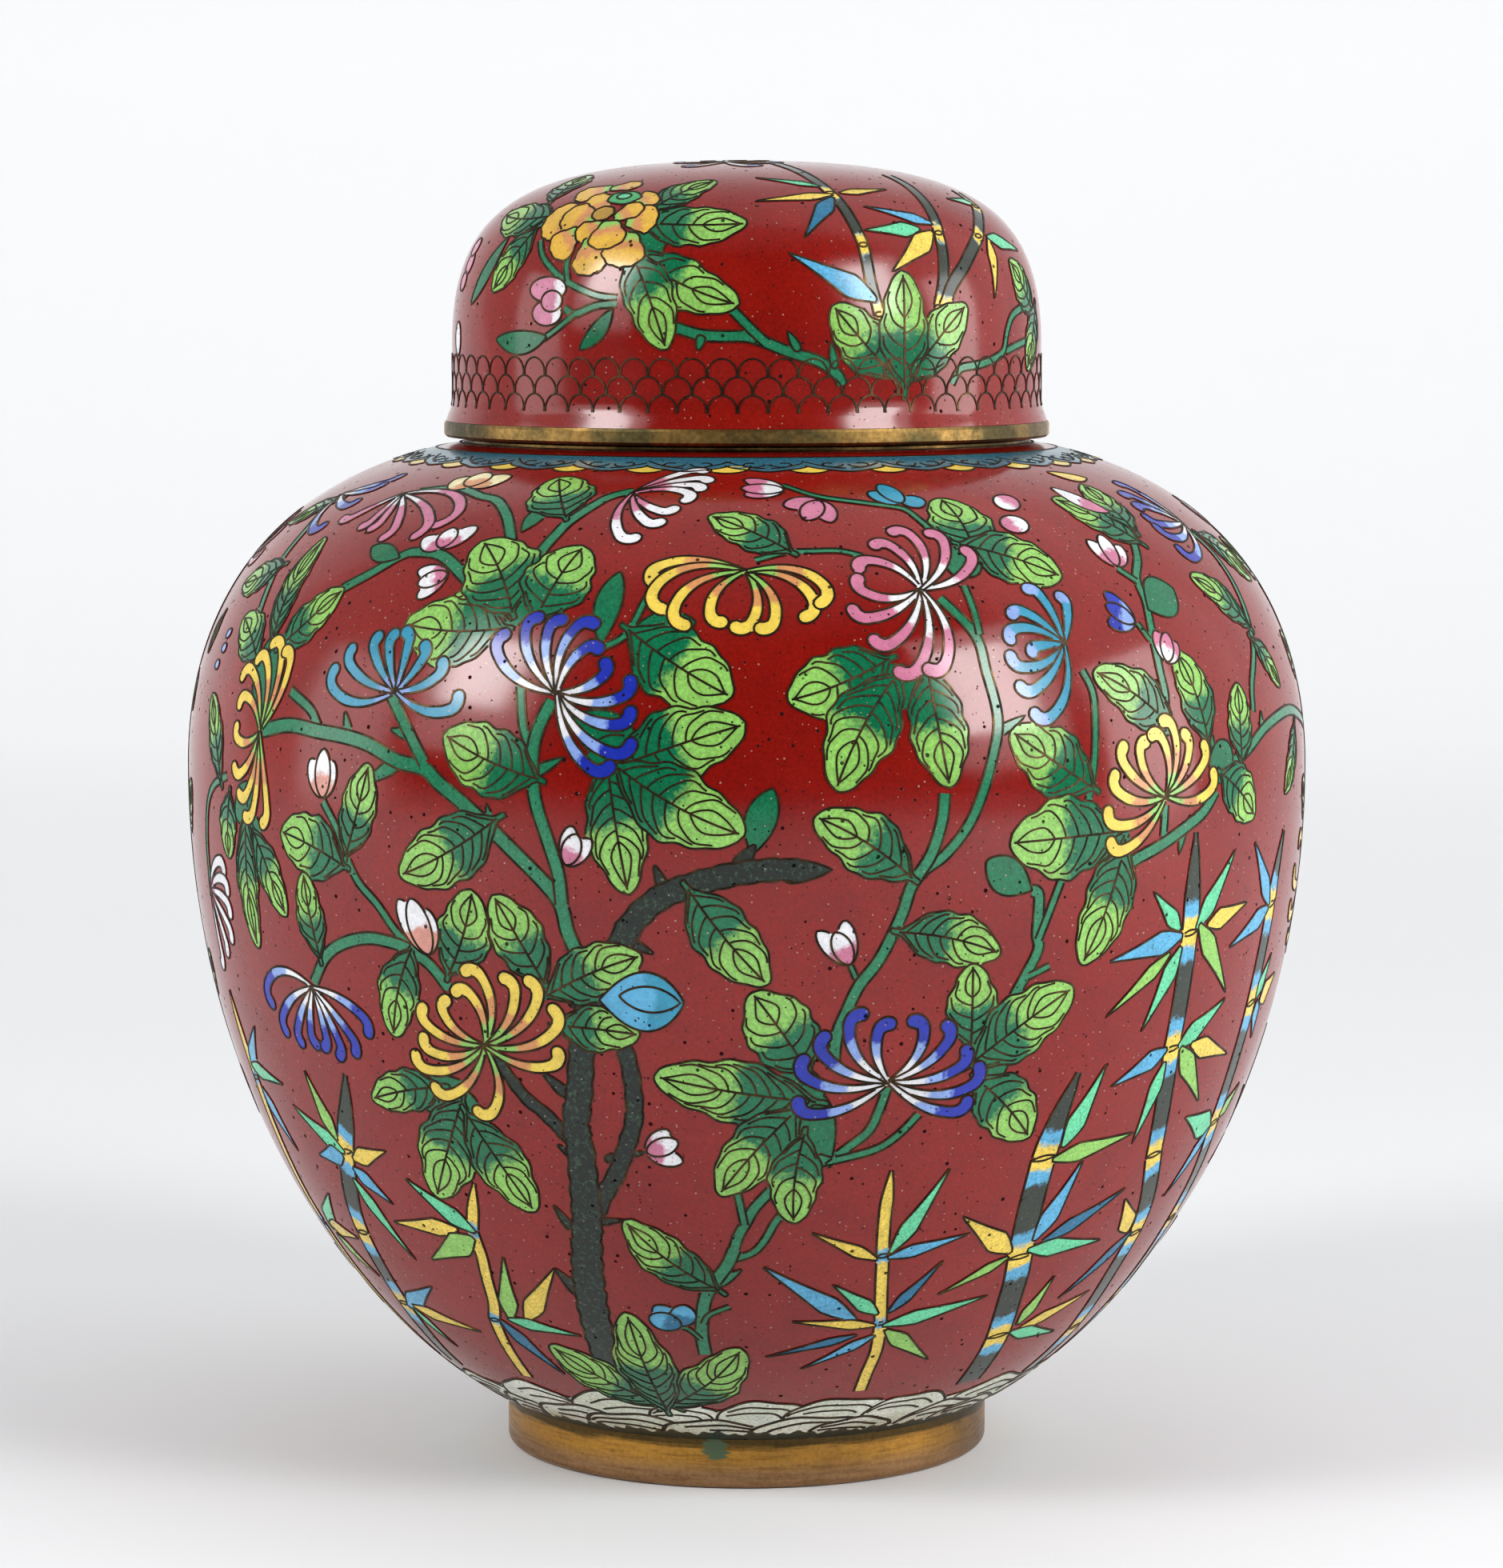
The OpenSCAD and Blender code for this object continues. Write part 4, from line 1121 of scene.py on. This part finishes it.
# Bamboo blades: base, tip, width, colour
bamboo_blades = [
    ((47.3, 97.5), (43, 103.5), 2.6, MINT), ((50.5, 97.5), (56.3, 108), 3.2, MINT),
    ((52.5, 97.3), (59.8, 99.5), 3, YELLOW), ((51, 97), (58, 86), 3.4, LIME),
    ((47.5, 96.2), (37.8, 93.7), 3.4, AQUA), ((46, 93.5), (38.3, 85.3), 2.2, LIME),
    ((47.8, 94), (43.8, 82.3), 3, MINT), ((51, 79), (58.3, 85), 3.4, MINT),
    ((53.5, 78.5), (62.5, 75.3), 3.2, YELLOW), ((51.5, 78), (58.6, 68.3), 3.6, LIME),
    ((48.3, 78.5), (41, 74), 3, AQUA), ((48.8, 76), (47.2, 63.6), 2.8, MINT),
    ((65.8, 98.5), (60.5, 108.5), 3.2, AQUA), ((65.5, 97.5), (57, 93), 3, AQUA),
    ((67.5, 83.5), (70, 89.8), 3, MINT), ((69.5, 82.5), (74, 86), 4, YELLOW),
    ((68.3, 82.3), (70, 76.2), 3, AQUA), ((65, 62.5), (56.8, 66), 4.5, MINT),
    ((65.3, 62), (60.5, 51.5), 2.5, AQUA), ((68, 64), (72, 68.5), 3, LIME),
    ((36.3, 65.5), (39.6, 77.8), 3.4, MINT), ((35.8, 63), (46.8, 65.5), 3, LIME),
    ((-51.8, 63.8), (-54, 74.5), 3, LIME), ((-51.5, 61.5), (-59.5, 67.5), 3, MINT),
    ((-52, 60.5), (-57.5, 59.5), 3.4, AQUA), ((-49.5, 60.5), (-43.2, 63), 3, YELLOW),
    ((-69, 72), (-63.8, 79.5), 3, AQUA), ((-69, 72), (-60.3, 70.7), 2.6, MINT),
    ((-68, 68), (-63.8, 58.8), 3, AQUA), ((-50.3, 58.5), (-45.5, 53.3), 2.8, AQUA),
    ((-51.3, 56), (-46.4, 42.7), 2.6, MINT), ((-67.3, 44.3), (-60.3, 52), 3.7, MINT),
    ((-66.5, 44.8), (-58.5, 44), 3, YELLOW), ((-66.5, 42.5), (-60, 36), 2.5, LIME),
    ((-56.8, 30.8), (-46.3, 37.3), 3.4, AQUA), ((-54.8, 31), (-41.5, 28.5), 2.6, YELLOW),
    ((-56, 30), (-52, 22.5), 2, MINT), ((-33.9, 50.8), (-41.6, 58.7), 3.2, MINT),
    ((-36.6, 50.5), (-47, 49.8), 3, YELLOW), ((-34.5, 49), (-43, 43.5), 4.2, LIME),
    ((-33.9, 33.3), (-30.6, 46.3), 3, LIME), ((-31, 33.6), (-23.8, 45), 3.2, YELLOW),
    ((-34, 32.8), (-23.3, 30.8), 2.4, MINT), ((-35.8, 31.7), (-30, 20.2), 2.6, DEEP),
    ((15.2, 47.8), (7.3, 53), 2, YELLOW), ((17.3, 49.3), (22.3, 63.3), 2.6, MINT),
    ((17.3, 47.9), (26.7, 51.2), 2.2, AQUA), ((13.9, 35.8), (1.9, 46.8), 3.2, AQUA),
    ((17, 36.7), (10.6, 43), 2.4, MINT), ((17, 34), (5.8, 35.5), 2, YELLOW),
    ((14.6, 31.8), (2.6, 27.5), 1.6, DEEP), ((17.4, 31.4), (8, 24.3), 1.8, AQUA),
    ((19, 37), (24.2, 46.5), 2, DEEP), ((19.2, 34), (32.8, 38.2), 2.8, MINT),
    ((19.6, 32.3), (28.3, 24.5), 2.8, LIME), ((33.2, 47), (25.2, 54.4), 3.6, YELLOW),
    ((33.2, 45.5), (24.9, 39.5), 1.8, LIME), ((36.7, 49), (39.8, 62.3), 3.4, AQUA),
    ((38.6, 48.2), (49.4, 55.5), 2.6, DEEP), ((36.8, 46.6), (49.2, 46), 3.2, MINT),
    ((41.9, 30.6), (43.4, 40.3), 2.6, LIME), ((43.5, 29.4), (54.8, 34.5), 2.6, YELLOW),
    ((42, 28.4), (53.7, 25.8), 2.8, MINT), ((54.8, 46.5), (50.3, 53.3), 3.6, YELLOW),
    ((55.8, 45.4), (47.2, 34.4), 2.4, DEEP), ((82.6, 58.5), (76.8, 67), 2.8, MINT),
    ((83, 58), (88.6, 63), 2.6, YELLOW), ((82.8, 57), (76.6, 53.5), 2.6, AQUA),
    ((83.8, 56), (87.8, 49), 2.6, LIME), ((83.8, 36.5), (77.4, 43.5), 2.8, YELLOW),
    ((84, 35.5), (88.8, 41), 2.6, MINT), ((83.6, 34), (77.6, 29), 2.4, LIME),
    ((-82, 32), (-76.6, 38.5), 2.6, MINT), ((-82.4, 31.5), (-87.6, 37), 2.6, AQUA),
    ((-82, 30), (-76.8, 26), 2.4, YELLOW), ((-82.6, 29.5), (-88, 26), 2.4, LIME),
]
# Bamboo stalks, from the top down: centre line, width, which points are nodes, yellow or not
stalks = [
    ([(49, 111.5), (49, 104), (49.2, 96.5), (49.3, 88), (49.5, 78.6), (50.7, 70), (52.5, 60.6), (56.2, 51),
        (57.5, 45.4), (58, 38), (59.4, 31), (61, 25), (61.2, 20), (60.8, 14)], 3.8, (2, 4, 6, 8, 11),
        False),
    ([(69, 109), (67.4, 103), (66.7, 98), (66.2, 90), (66, 82.7), (66, 73), (66.5, 63), (69, 54),
        (70, 45.2), (71, 36.5), (71.5, 28.3), (71.5, 22), (71, 15)], 3.9, (2, 4, 6, 8, 10), False),
    ([(36, 77), (34.6, 70), (33.9, 63.4), (34.1, 55.8), (34.8, 49), (35.4, 45.5), (36.4, 40.9), (37.3, 36),
        (39.2, 28.2), (40, 23.5), (41, 16)], 4.4, (2, 5, 8), False),
    ([(-46.4, 75), (-47.9, 69.3), (-50.8, 61.5), (-52.4, 57), (-54.7, 51), (-56, 45.8), (-56.7, 41),
        (-57.6, 35), (-58.3, 31), (-59.2, 26), (-60.6, 20), (-61, 16)], 3.6, (2, 5, 8), False),
    ([(-70, 84), (-69.5, 76), (-69.3, 70), (-70, 60), (-71, 50), (-71, 44), (-70.5, 34), (-70, 24),
        (-70, 16)], 2.6, (2, 5), True),
    ([(-31.4, 59.5), (-32.6, 55), (-33.8, 50.6), (-33.9, 46), (-34.6, 41.6), (-35.6, 36), (-37.2, 32.2),
        (-38, 27.5), (-38.5, 23.5), (-39, 18)], 2.0, (2, 6), True),
    ([(82.5, 76), (82, 67), (83, 57.5), (83.6, 47), (84, 35.5), (84, 25), (83.5, 16)], 3.0, (2, 4), False),
    ([(-81.5, 42), (-82, 37), (-82.3, 31), (-82.8, 24), (-83, 16)], 1.9, (2,), True),
    ([(15.6, 63.4), (15.6, 56.2), (15.9, 51), (16.2, 48.2), (17, 41.2), (18.1, 34.3), (18.8, 28),
        (18.7, 22.6), (18.9, 17.5)], 1.9, (3, 5), True),
]


def decorate_body(sheet):
    """Lays everything on the body, from what lies lowest to what lies on top."""
    for points, width, nodes, pale in stalks:
        stalk(sheet, points, width, nodes, (1.2, NO_CUT) if pale else (2.3, 4.6), 0.12, True, pale)
    for base, tip, width, ink in bamboo_blades:
        spear(sheet, base, tip, width * SPEAR_GROW, ink)
    rocks(sheet, -90, 90)
    for base, tip, width in green_thorns:
        blade(sheet, base, tip, width, (STEM,), 0.0, 0.2)
    for width, points in stems:
        ribbon(sheet, points, width)
    for base, tip, width in plain_leaves:
        blade(sheet, base, tip, width, (LEAF,), 0.03, 0.55)
    for base, tip, width in thorns:
        blade(sheet, base, tip, width, (BARK,), 0.0, 0.2, "bark")
    for start, end, points in trunk:
        ribbon(sheet, points, start, (BARK,), "bark", end)
    for centre, wide, high, turn in hubs:
        blob(sheet, centre, wide, high, (LEAF,), turn, "green")
    for base, tip, width in leaves:
        leaf(sheet, base, tip, width)
    for base, tip, width, inks, bend, fullest, cut in loose_petals:
        blade(sheet, base, tip, width, inks, bend, fullest, "flower", cut)
    for centre, wide, high, inks, turn in blobs:
        blob(sheet, centre, wide, high, inks, turn, cut=0.5)
    for base, tips, inks, width in buds:
        bud(sheet, base, tips, inks, width)
    for centre, inks, cuts, tips in flowers:
        flower(sheet, centre, inks, cuts, tips)


decorate_body(body)
build(body, "body", "jar")
ring = Sheet(body_skin)
border(ring)
build(ring, "border", "jar", mirrored=False)


# ---------------------------------------------------------------- the lid's decoration

lid = Sheet(lid_skin)
# Stems: width, centre line. Then leaves: base, tip, width; blades: the same and a colour
lid_stems = [
    (1.0, [(-47, 28.5), (-44, 25.5), (-37.5, 22.2), (-30, 19.9), (-25, 19.4)]),
    (1.0, [(-37, 29.7), (-37.6, 25), (-36.4, 22)]),
    (1.1, [(-25, 18.6), (-29.5, 18.2), (-34, 17), (-36.5, 17.9)]),
    (0.9, [(-34, 17), (-38, 14.8), (-41.3, 13.3)]),
    (1.6, [(-15.5, 15.8), (-12, 14.8), (-8.3, 14), (-4, 13.8), (0, 13.8), (3.3, 13), (8.3, 11.4),
        (13.3, 10.2), (17, 8.2), (18, 6.6)]),
    (1.4, [(-3, 18), (-1, 16.4), (1.5, 14.4), (3.7, 12.8)]),
    (1.2, [(42, 6.6), (43.4, 8.2), (45, 9), (50, 9.4), (55, 10.3), (58, 11.4), (59.2, 14), (62, 16.6),
        (68, 18)]),
    (1.1, [(59, 11.3), (63, 12), (69, 12.8)]),
]
lid_leaves = [
    ((-50.5, 33.3), (-70, 33.5), 6.5), ((-55, 38), (-64, 47), 6), ((-51.3, 29.6), (-58.3, 20.2), 6),
    ((-20.5, 35.3), (-8.5, 43.5), 5.5), ((-20.3, 31.7), (0.3, 31.5), 7), ((-20.3, 25.3), (-1.3, 18.4), 7),
    ((-22.5, 25.2), (-14.9, 11.7), 7), ((33.5, 8.4), (46.5, 18.4), 7), ((27.3, 9), (16.2, 18.4), 7.4),
    ((31, 8), (31.5, 23.6), 7.6), ((73, 18), (66, 25.3), 7), ((76, 17), (69, 8.2), 6),
]
lid_blades = [
    ((24.3, 19.4), (8.2, 26.3), 3.4, AQUA), ((20.5, 38.3), (1.9, 36.5), 1.9, YELLOW),
    ((19, 41.3), (2.3, 45), 1.6, MINT), ((20.5, 37.2), (11.8, 28.9), 2.6, DEEP),
    ((24.4, 39), (39, 40.3), 1.7, YELLOW), ((42.8, 31.7), (27.5, 35.3), 2, AQUA),
    ((38.3, 30.5), (25, 30.3), 2.6, MINT), ((41.4, 29.7), (29.2, 23.4), 3.2, YELLOW),
    ((60, 28.4), (55.5, 19), 2.2, YELLOW), ((61, 29), (75, 26.8), 2.6, MINT),
    ((69, 36.5), (58, 37.6), 1.8, MINT),
]
# Stalks, from the top down: centre line, width, which points are nodes
lid_stalks = [
    ([(14, 62), (16, 55), (18.5, 48), (20.2, 42.5), (21.1, 39), (22, 36.5), (22.8, 32.8), (23.9, 27.7),
        (24.2, 22), (25.5, 17), (26.6, 14)], 1.7, (4, 7, 9)),
    ([(52, 47), (49.5, 42), (47.6, 38), (45.4, 33), (43.8, 29.8), (42.6, 26), (41, 22), (39, 18), (38, 14)],
        1.9, (4, 7)),
    ([(72, 40), (69, 35.5), (61.5, 32), (56.8, 29.3), (51.5, 26.6), (47.3, 24), (43.3, 21.4), (40.3, 18),
        (39, 15)], 2.0, (1, 3, 7)),
]
# The yellow flower's petals: base, tip, width
peony = [
    ((-38, 41), (-46.2, 37.5), 5.2), ((-38, 40.3), (-29.5, 42.4), 3.6), ((-26, 36), (-22, 38.4), 5.0),
    ((-33, 33.7), (-40.2, 38.4), 4.4), ((-37.5, 32), (-49.3, 32.6), 8.0),
    ((-34.5, 32.6), (-44.2, 33.2), 6.2), ((-26.5, 32), (-19.2, 33), 6.2),
    ((-29.7, 32.4), (-24, 35.6), 4.0), ((-37.2, 30.3), (-42, 25.9), 6.2), ((-32, 31.5), (-37.5, 29), 4.2),
    ((-33.2, 29), (-31.2, 22.8), 6.8), ((-24.8, 30), (-25, 24), 7.4), ((-30.2, 32.2), (-29.2, 26.9), 6.6),
]
# The flower on top: for each petal its tip and how far it curls
lid_top_flower = [
    (-48, 60.5, 60), (-44, 66, 50), (-14, 69.5, 20), (16, 66, -40), (18, 59.5, -60), (4, 54.5, -60),
    (-26, 54, 50),
]
# Thorns and plain leaves: base, tip, width
lid_thorns = [
    ((-8.2, 14), (-9, 11.6), 1.4), ((9.8, 11.6), (7.6, 14.6), 1.3), ((16.6, 9), (15.8, 13), 1.3),
]
lid_plain_leaves = [
    ((-40.5, 13.6), (-55.5, 13.1), 3.6), ((-25.7, 17.8), (-32.8, 11.7), 2.6),
    ((-59, 29.2), (-67.5, 18.2), 3.2),
]
# Round petals and the peony's heart: centre, width, height, inks, lobes, where the ink changes
lid_petals = [
    ((-41.2, 20.7), 7.4, 3.8, (PINK, WHITE), 0, 0.7), ((-40.8, 17.1), 6, 3.8, (PINK, WHITE), 0, 0.7),
    ((-39.8, 18.9), 4.2, 3.2, (PINK, WHITE), 0, 0.7), ((-75, 13), 3.4, 5.2, (WHITE,), 0, NO_CUT),
    ((-75, 24.6), 4, 3.6, (PINK,), 0, NO_CUT), ((-76, 21.8), 3.6, 3, (PINK,), 0, NO_CUT),
    ((-76, 27.4), 4, 3.2, (PINK,), 0, NO_CUT),
]
peony_heart = [
    ((-33.3, 33.7), 3.8, 3.2, (BRONZE,), 7, NO_CUT), ((-30.6, 37.6), 5.6, 3.6, (LEAF_PALE,), 5, NO_CUT),
    ((-31, 38), 2.5, 1.7, (MINT,), 0, NO_CUT),
]


def club(sheet, base, tip, width, inks):
    """A broad petal with a wavy edge, round at its far end."""
    at, start, along, left, length = axis_of(sheet, base, tip)
    gap = 0.25
    t = np.linspace(0, 1, 24)
    arc = np.clip(1 - ((t - 0.55) / 0.45) ** 2, 0, 1)
    half = width / 2 * np.clip(0.35 + 1.1 * t, 0, 1) * np.sqrt(np.where(t > 0.55, arc, 1))
    spine = start + np.outer(t * length, along)
    off = np.outer(half, left)
    outline = resample(np.vstack([spine + off, (spine - off)[::-1]]), gap)
    wave = 0.09 * np.abs(np.sin(np.arange(len(outline)) * gap * 1.5))[:, None] - 0.06
    outline = outline + (outline - outline.mean(axis=0)) * wave
    sheet.cell(at, outline, spine, inks, (0.22 * length, 0.5 * length), "flower")
    sheet.wire(at, outline, closed=True)


def scales(sheet, low):
    """Three rows of overlapping scale outlines round the lid's wall."""
    count = 64
    pitch = 360 / count
    half = math.radians(pitch) * wall_r / 2
    a = np.radians(np.linspace(-12, 192, 15))
    arc = np.stack([half * 0.96 * np.cos(a), 2.2 * np.sin(a) - 0.4], -1)
    for row in range(3):
        for k in range(count):
            az = (k + 0.5 * (row % 2)) * pitch + 1.2
            sheet.wire((az, low + 0.9 + 2.7 * row), arc, width=0.25)


def decorate_lid(sheet):
    """Lays everything on the lid, from what lies lowest to what lies on top."""
    for points, width, nodes in lid_stalks:
        stalk(sheet, points, width, nodes, (1.8, 1.9), 0.05, False, False)
    for base, tip, width, ink in lid_blades:
        spear(sheet, base, tip, width * SPEAR_GROW, ink)
    for width, points in lid_stems:
        ribbon(sheet, points, width)
    for base, tip, width in lid_thorns:
        blade(sheet, base, tip, width, (STEM,), 0.0, 0.3)
    for base, tip, width in lid_plain_leaves:
        blade(sheet, base, tip, width, (LEAF,), 0.06, 0.5)
    blob(sheet, (-20.5, 28.6), 6.5, 9, (LEAF,), kind="green")
    for base, tip, width in lid_leaves:
        leaf(sheet, base, tip, width * 1.2, veins=4)
    for centre, wide, high, inks, lobes, cut in lid_petals:
        blob(sheet, centre, wide, high, inks, lobes=lobes, cut=cut)
    for base, tip, width in peony:
        club(sheet, base, tip, width, (LIME, PEACH, GOLD))
    for centre, wide, high, inks, lobes, cut in peony_heart:
        blob(sheet, centre, wide, high, inks, lobes=lobes, cut=cut)
    flower(sheet, (-13, 60.5), (WHITE, WHITE, SKY), (0.45, 0.8), lid_top_flower)


decorate_lid(lid)
build(lid, "lid", "lid")
scale_sheet = Sheet(lid_skin)
scales(scale_sheet, lid_skin.s_at_height(rim_top + 2.3))


# ---------------------------------------------------------------- grounds

def revolve(name, skin, s0, s1, body_name, gap=1.2):
    """A closed ring or cap of red enamel that follows the skin between two lengths."""
    steps = 360
    s = np.linspace(s0, s1, max(3, int((s1 - s0) / gap) + 1))
    az = np.arange(steps) * 360 / steps
    rings = [skin.place(az, np.full(steps, si), 0.0) for si in s]
    rings += [skin.place(az, np.full(steps, si), -GROUND_DEEP) for si in s[::-1]]
    verts = np.vstack(rings)
    faces = []
    for i in range(len(rings)):
        j = (i + 1) % len(rings)
        for k in range(steps):
            m = (k + 1) % steps
            faces.append([i * steps + k, i * steps + m, j * steps + m, j * steps + k])
    if skin.r[-1] < 1e-3 and s1 >= skin.length - 1e-6:
        verts, faces = close_top(verts, faces, steps, len(s))
    batch = Batch()
    batch.add(verts, faces)
    piece = make_piece(name, batch, red, body_name, smooth=True)
    piece.data.set_sharp_from_angle(angle=math.radians(40))
    return piece


def close_top(verts, faces, steps, rows):
    """Joins the rings at the axis, the last above and the first below, into single points."""
    joined = {row * steps + k: row * steps for row in (rows - 1, rows) for k in range(steps)}
    kept = []
    for f in faces:
        g = []
        for i in f:
            i = joined.get(i, i)
            if not g or g[-1] != i:
                g.append(i)
        if len(g) > 1 and g[0] == g[-1]:
            g.pop()
        if len(g) >= 3:
            kept.append(g)
    used = sorted({i for f in kept for i in f})
    where = {v: i for i, v in enumerate(used)}
    return verts[used], [[where[i] for i in f] for f in kept]


strip_s = body_skin.length - 0.6
ground = revolve("body_ground", body_skin, 0.2, strip_s, "jar")
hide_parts("red_ground", "rock_band", "cloud_border")
strip = revolve("neck_strip", body_skin, strip_s + 0.05, body_skin.length, "jar", gap=0.3)
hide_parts("neck_band")
bottom_s = lid_skin.s_at_height(rim_top + 0.05)
dome_ground = revolve("lid_ground", lid_skin, bottom_s, lid_skin.length, "lid", gap=0.9)
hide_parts("lid_foot_band", "lid_scale_band", "lid_dome_ground")
scale_wires = Batch()
for line, order, width in scale_sheet.wires:
    lay_wire(scale_wires, lid_skin, line, False, width)
scale_piece = make_piece("lid_scale_wires", scale_wires, wire_metal, "lid")
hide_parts("scale_cloisons")
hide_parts("border_rings", "cloud_cloisons")

# The CAD's own nodes that stay in sight; all others of them are linings
node_materials = {
    "foot_ring": foot_brass, "lid_rim": rim_brass, "mouth_rim": neck_brass, "neck_collar": neck_brass,
    "seat_ring": neck_brass, "lower_shell": copper, "upper_shell": copper, "lid_shell": copper,
    "base_plate": copper,
}
for name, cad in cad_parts.items():
    if cad.hide_render:
        continue
    cad.data.polygons.foreach_set("use_smooth", [True] * len(cad.data.polygons))
    cad.data.set_sharp_from_angle(angle=math.radians(35))
    for i in range(len(cad.data.materials)):
        cad.data.materials[i] = node_materials.get(name, lining)


# ---------------------------------------------------------------- floor, lights and camera

def floor_paper():
    """Pale paper that glows a little, more and more towards the back and the far sides."""
    material, p = new_paint("floor_paper")
    pale = linear(228, 229, 231)
    p.set("Base Color", p.mix(p.noise(6, 2.0), pale, tuple(c * 0.97 for c in pale)))
    p.set("Roughness", 0.7)
    p.set("Emission Color", (0.98, 0.985, 0.99))
    place = p.axes()
    back = p.ramp(place["Y"], 0.1, 1.9, 0.0, 0.57)
    across = p.ramp(p.calc("ABSOLUTE", place["X"]), 1.2, 2.9, 0.0, 0.5)
    p.set("Emission Strength", p.calc("MAXIMUM", back, across))
    return material


def sweep():
    """A pale floor that curves up into a backdrop behind the jar; measures in metres."""
    bend_y, bend_r, wide, tall = 1.2, 1.0, 3.0, 3.0
    profile = [(-3.0, 0.0), (bend_y, 0.0)]
    for a in np.radians(range(10, 91, 10)):
        profile.append((bend_y + bend_r * math.sin(a), bend_r * (1.0 - math.cos(a))))
    profile.append((bend_y + bend_r, tall))
    verts = [(x, y, z) for y, z in profile for x in (-wide, wide)]
    faces = [[2 * i, 2 * i + 1, 2 * i + 3, 2 * i + 2] for i in range(len(profile) - 1)]
    mesh = bpy.data.meshes.new("floor")
    mesh.from_pydata(verts, [], faces)
    mesh.polygons.foreach_set("use_smooth", [True] * len(faces))
    mesh.materials.append(floor_paper())
    floor = bpy.data.objects.new("floor", mesh)
    bpy.context.scene.collection.objects.link(floor)


def softbox(name, towards, distance, wide, high, power):
    """A rectangular light that faces the jar's middle from the given way."""
    data = bpy.data.lights.new(name, "AREA")
    data.shape = "RECTANGLE"
    data.size, data.size_y = wide, high
    data.energy = power
    light = bpy.data.objects.new(name, data)
    bpy.context.scene.collection.objects.link(light)
    way = Vector(towards).normalized()
    light.location = Vector((0, 0, 0.11)) + way * distance
    light.rotation_euler = (-way).to_track_quat("-Z", "Y").to_euler()
    light.visible_camera = False


def studio_world():
    """Pale surroundings, brighter on the right, with a dark stretch in front of the jar."""
    world = bpy.data.worlds.new("studio")
    bpy.context.scene.world = world
    world.use_nodes = True
    p = Paint(world.node_tree, world.node_tree.nodes["Background"], "Generated")
    way = p.axes()
    around = p.ramp(way["Y"], -0.36, -0.10, DARK_SIDE, PALE_SIDE)
    around = p.calc("MULTIPLY", around, p.ramp(way["X"], -0.5, 0.5, 0.95, 1.8))
    above = p.ramp(way["Z"], 0.72, 0.94, 0.0, PALE_ABOVE)
    seen = p.calc("MULTIPLY", p.node("ShaderNodeLightPath").outputs["Is Camera Ray"], PALE_SEEN)
    p.set("Strength", p.calc("MAXIMUM", p.calc("MAXIMUM", around, above), seen))
    p.set("Color", (0.98, 0.987, 0.995))


# Strength of the surroundings: in front, at the sides, overhead, and as the camera sees them
DARK_SIDE, PALE_SIDE, PALE_ABOVE, PALE_SEEN = 0.02, 0.56, 0.34, 0.9
# Each light: way from the jar, distance, width, height in metres, power in watts
lights = {
    "key_left": ((-0.747, -0.485, 0.454), 1.1, 0.50, 0.78, 2.8),
    "core_left": ((-0.74, -0.46, 0.49), 1.08, 0.28, 0.38, 4.9),
    "key_right": ((0.739, -0.537, 0.407), 1.1, 0.50, 0.78, 3.2),
    "core_right": ((0.70, -0.55, 0.43), 1.08, 0.32, 0.48, 6.0),
    "side_left": ((-0.97, -0.05, 0.12), 1.2, 0.5, 0.8, 2.4),
    "side_right": ((0.97, -0.05, 0.12), 1.2, 0.5, 0.8, 5.0),
}
sweep()
studio_world()
for name, setting in lights.items():
    softbox(name, *setting)
bpy.context.scene.view_settings.view_transform = "Standard"

# The camera stands where the photo's own camera stood
lens_data = bpy.data.cameras.new("camera")
lens_data.lens = 118.29
lens_data.sensor_width = 36
lens_data.clip_start, lens_data.clip_end = 0.05, 20
camera = bpy.data.objects.new("camera", lens_data)
bpy.context.scene.collection.objects.link(camera)
camera.location = (0.00075, -0.8049, 0.1856)
camera.rotation_euler = (math.radians(84.2), 0, 0)
bpy.context.scene.camera = camera
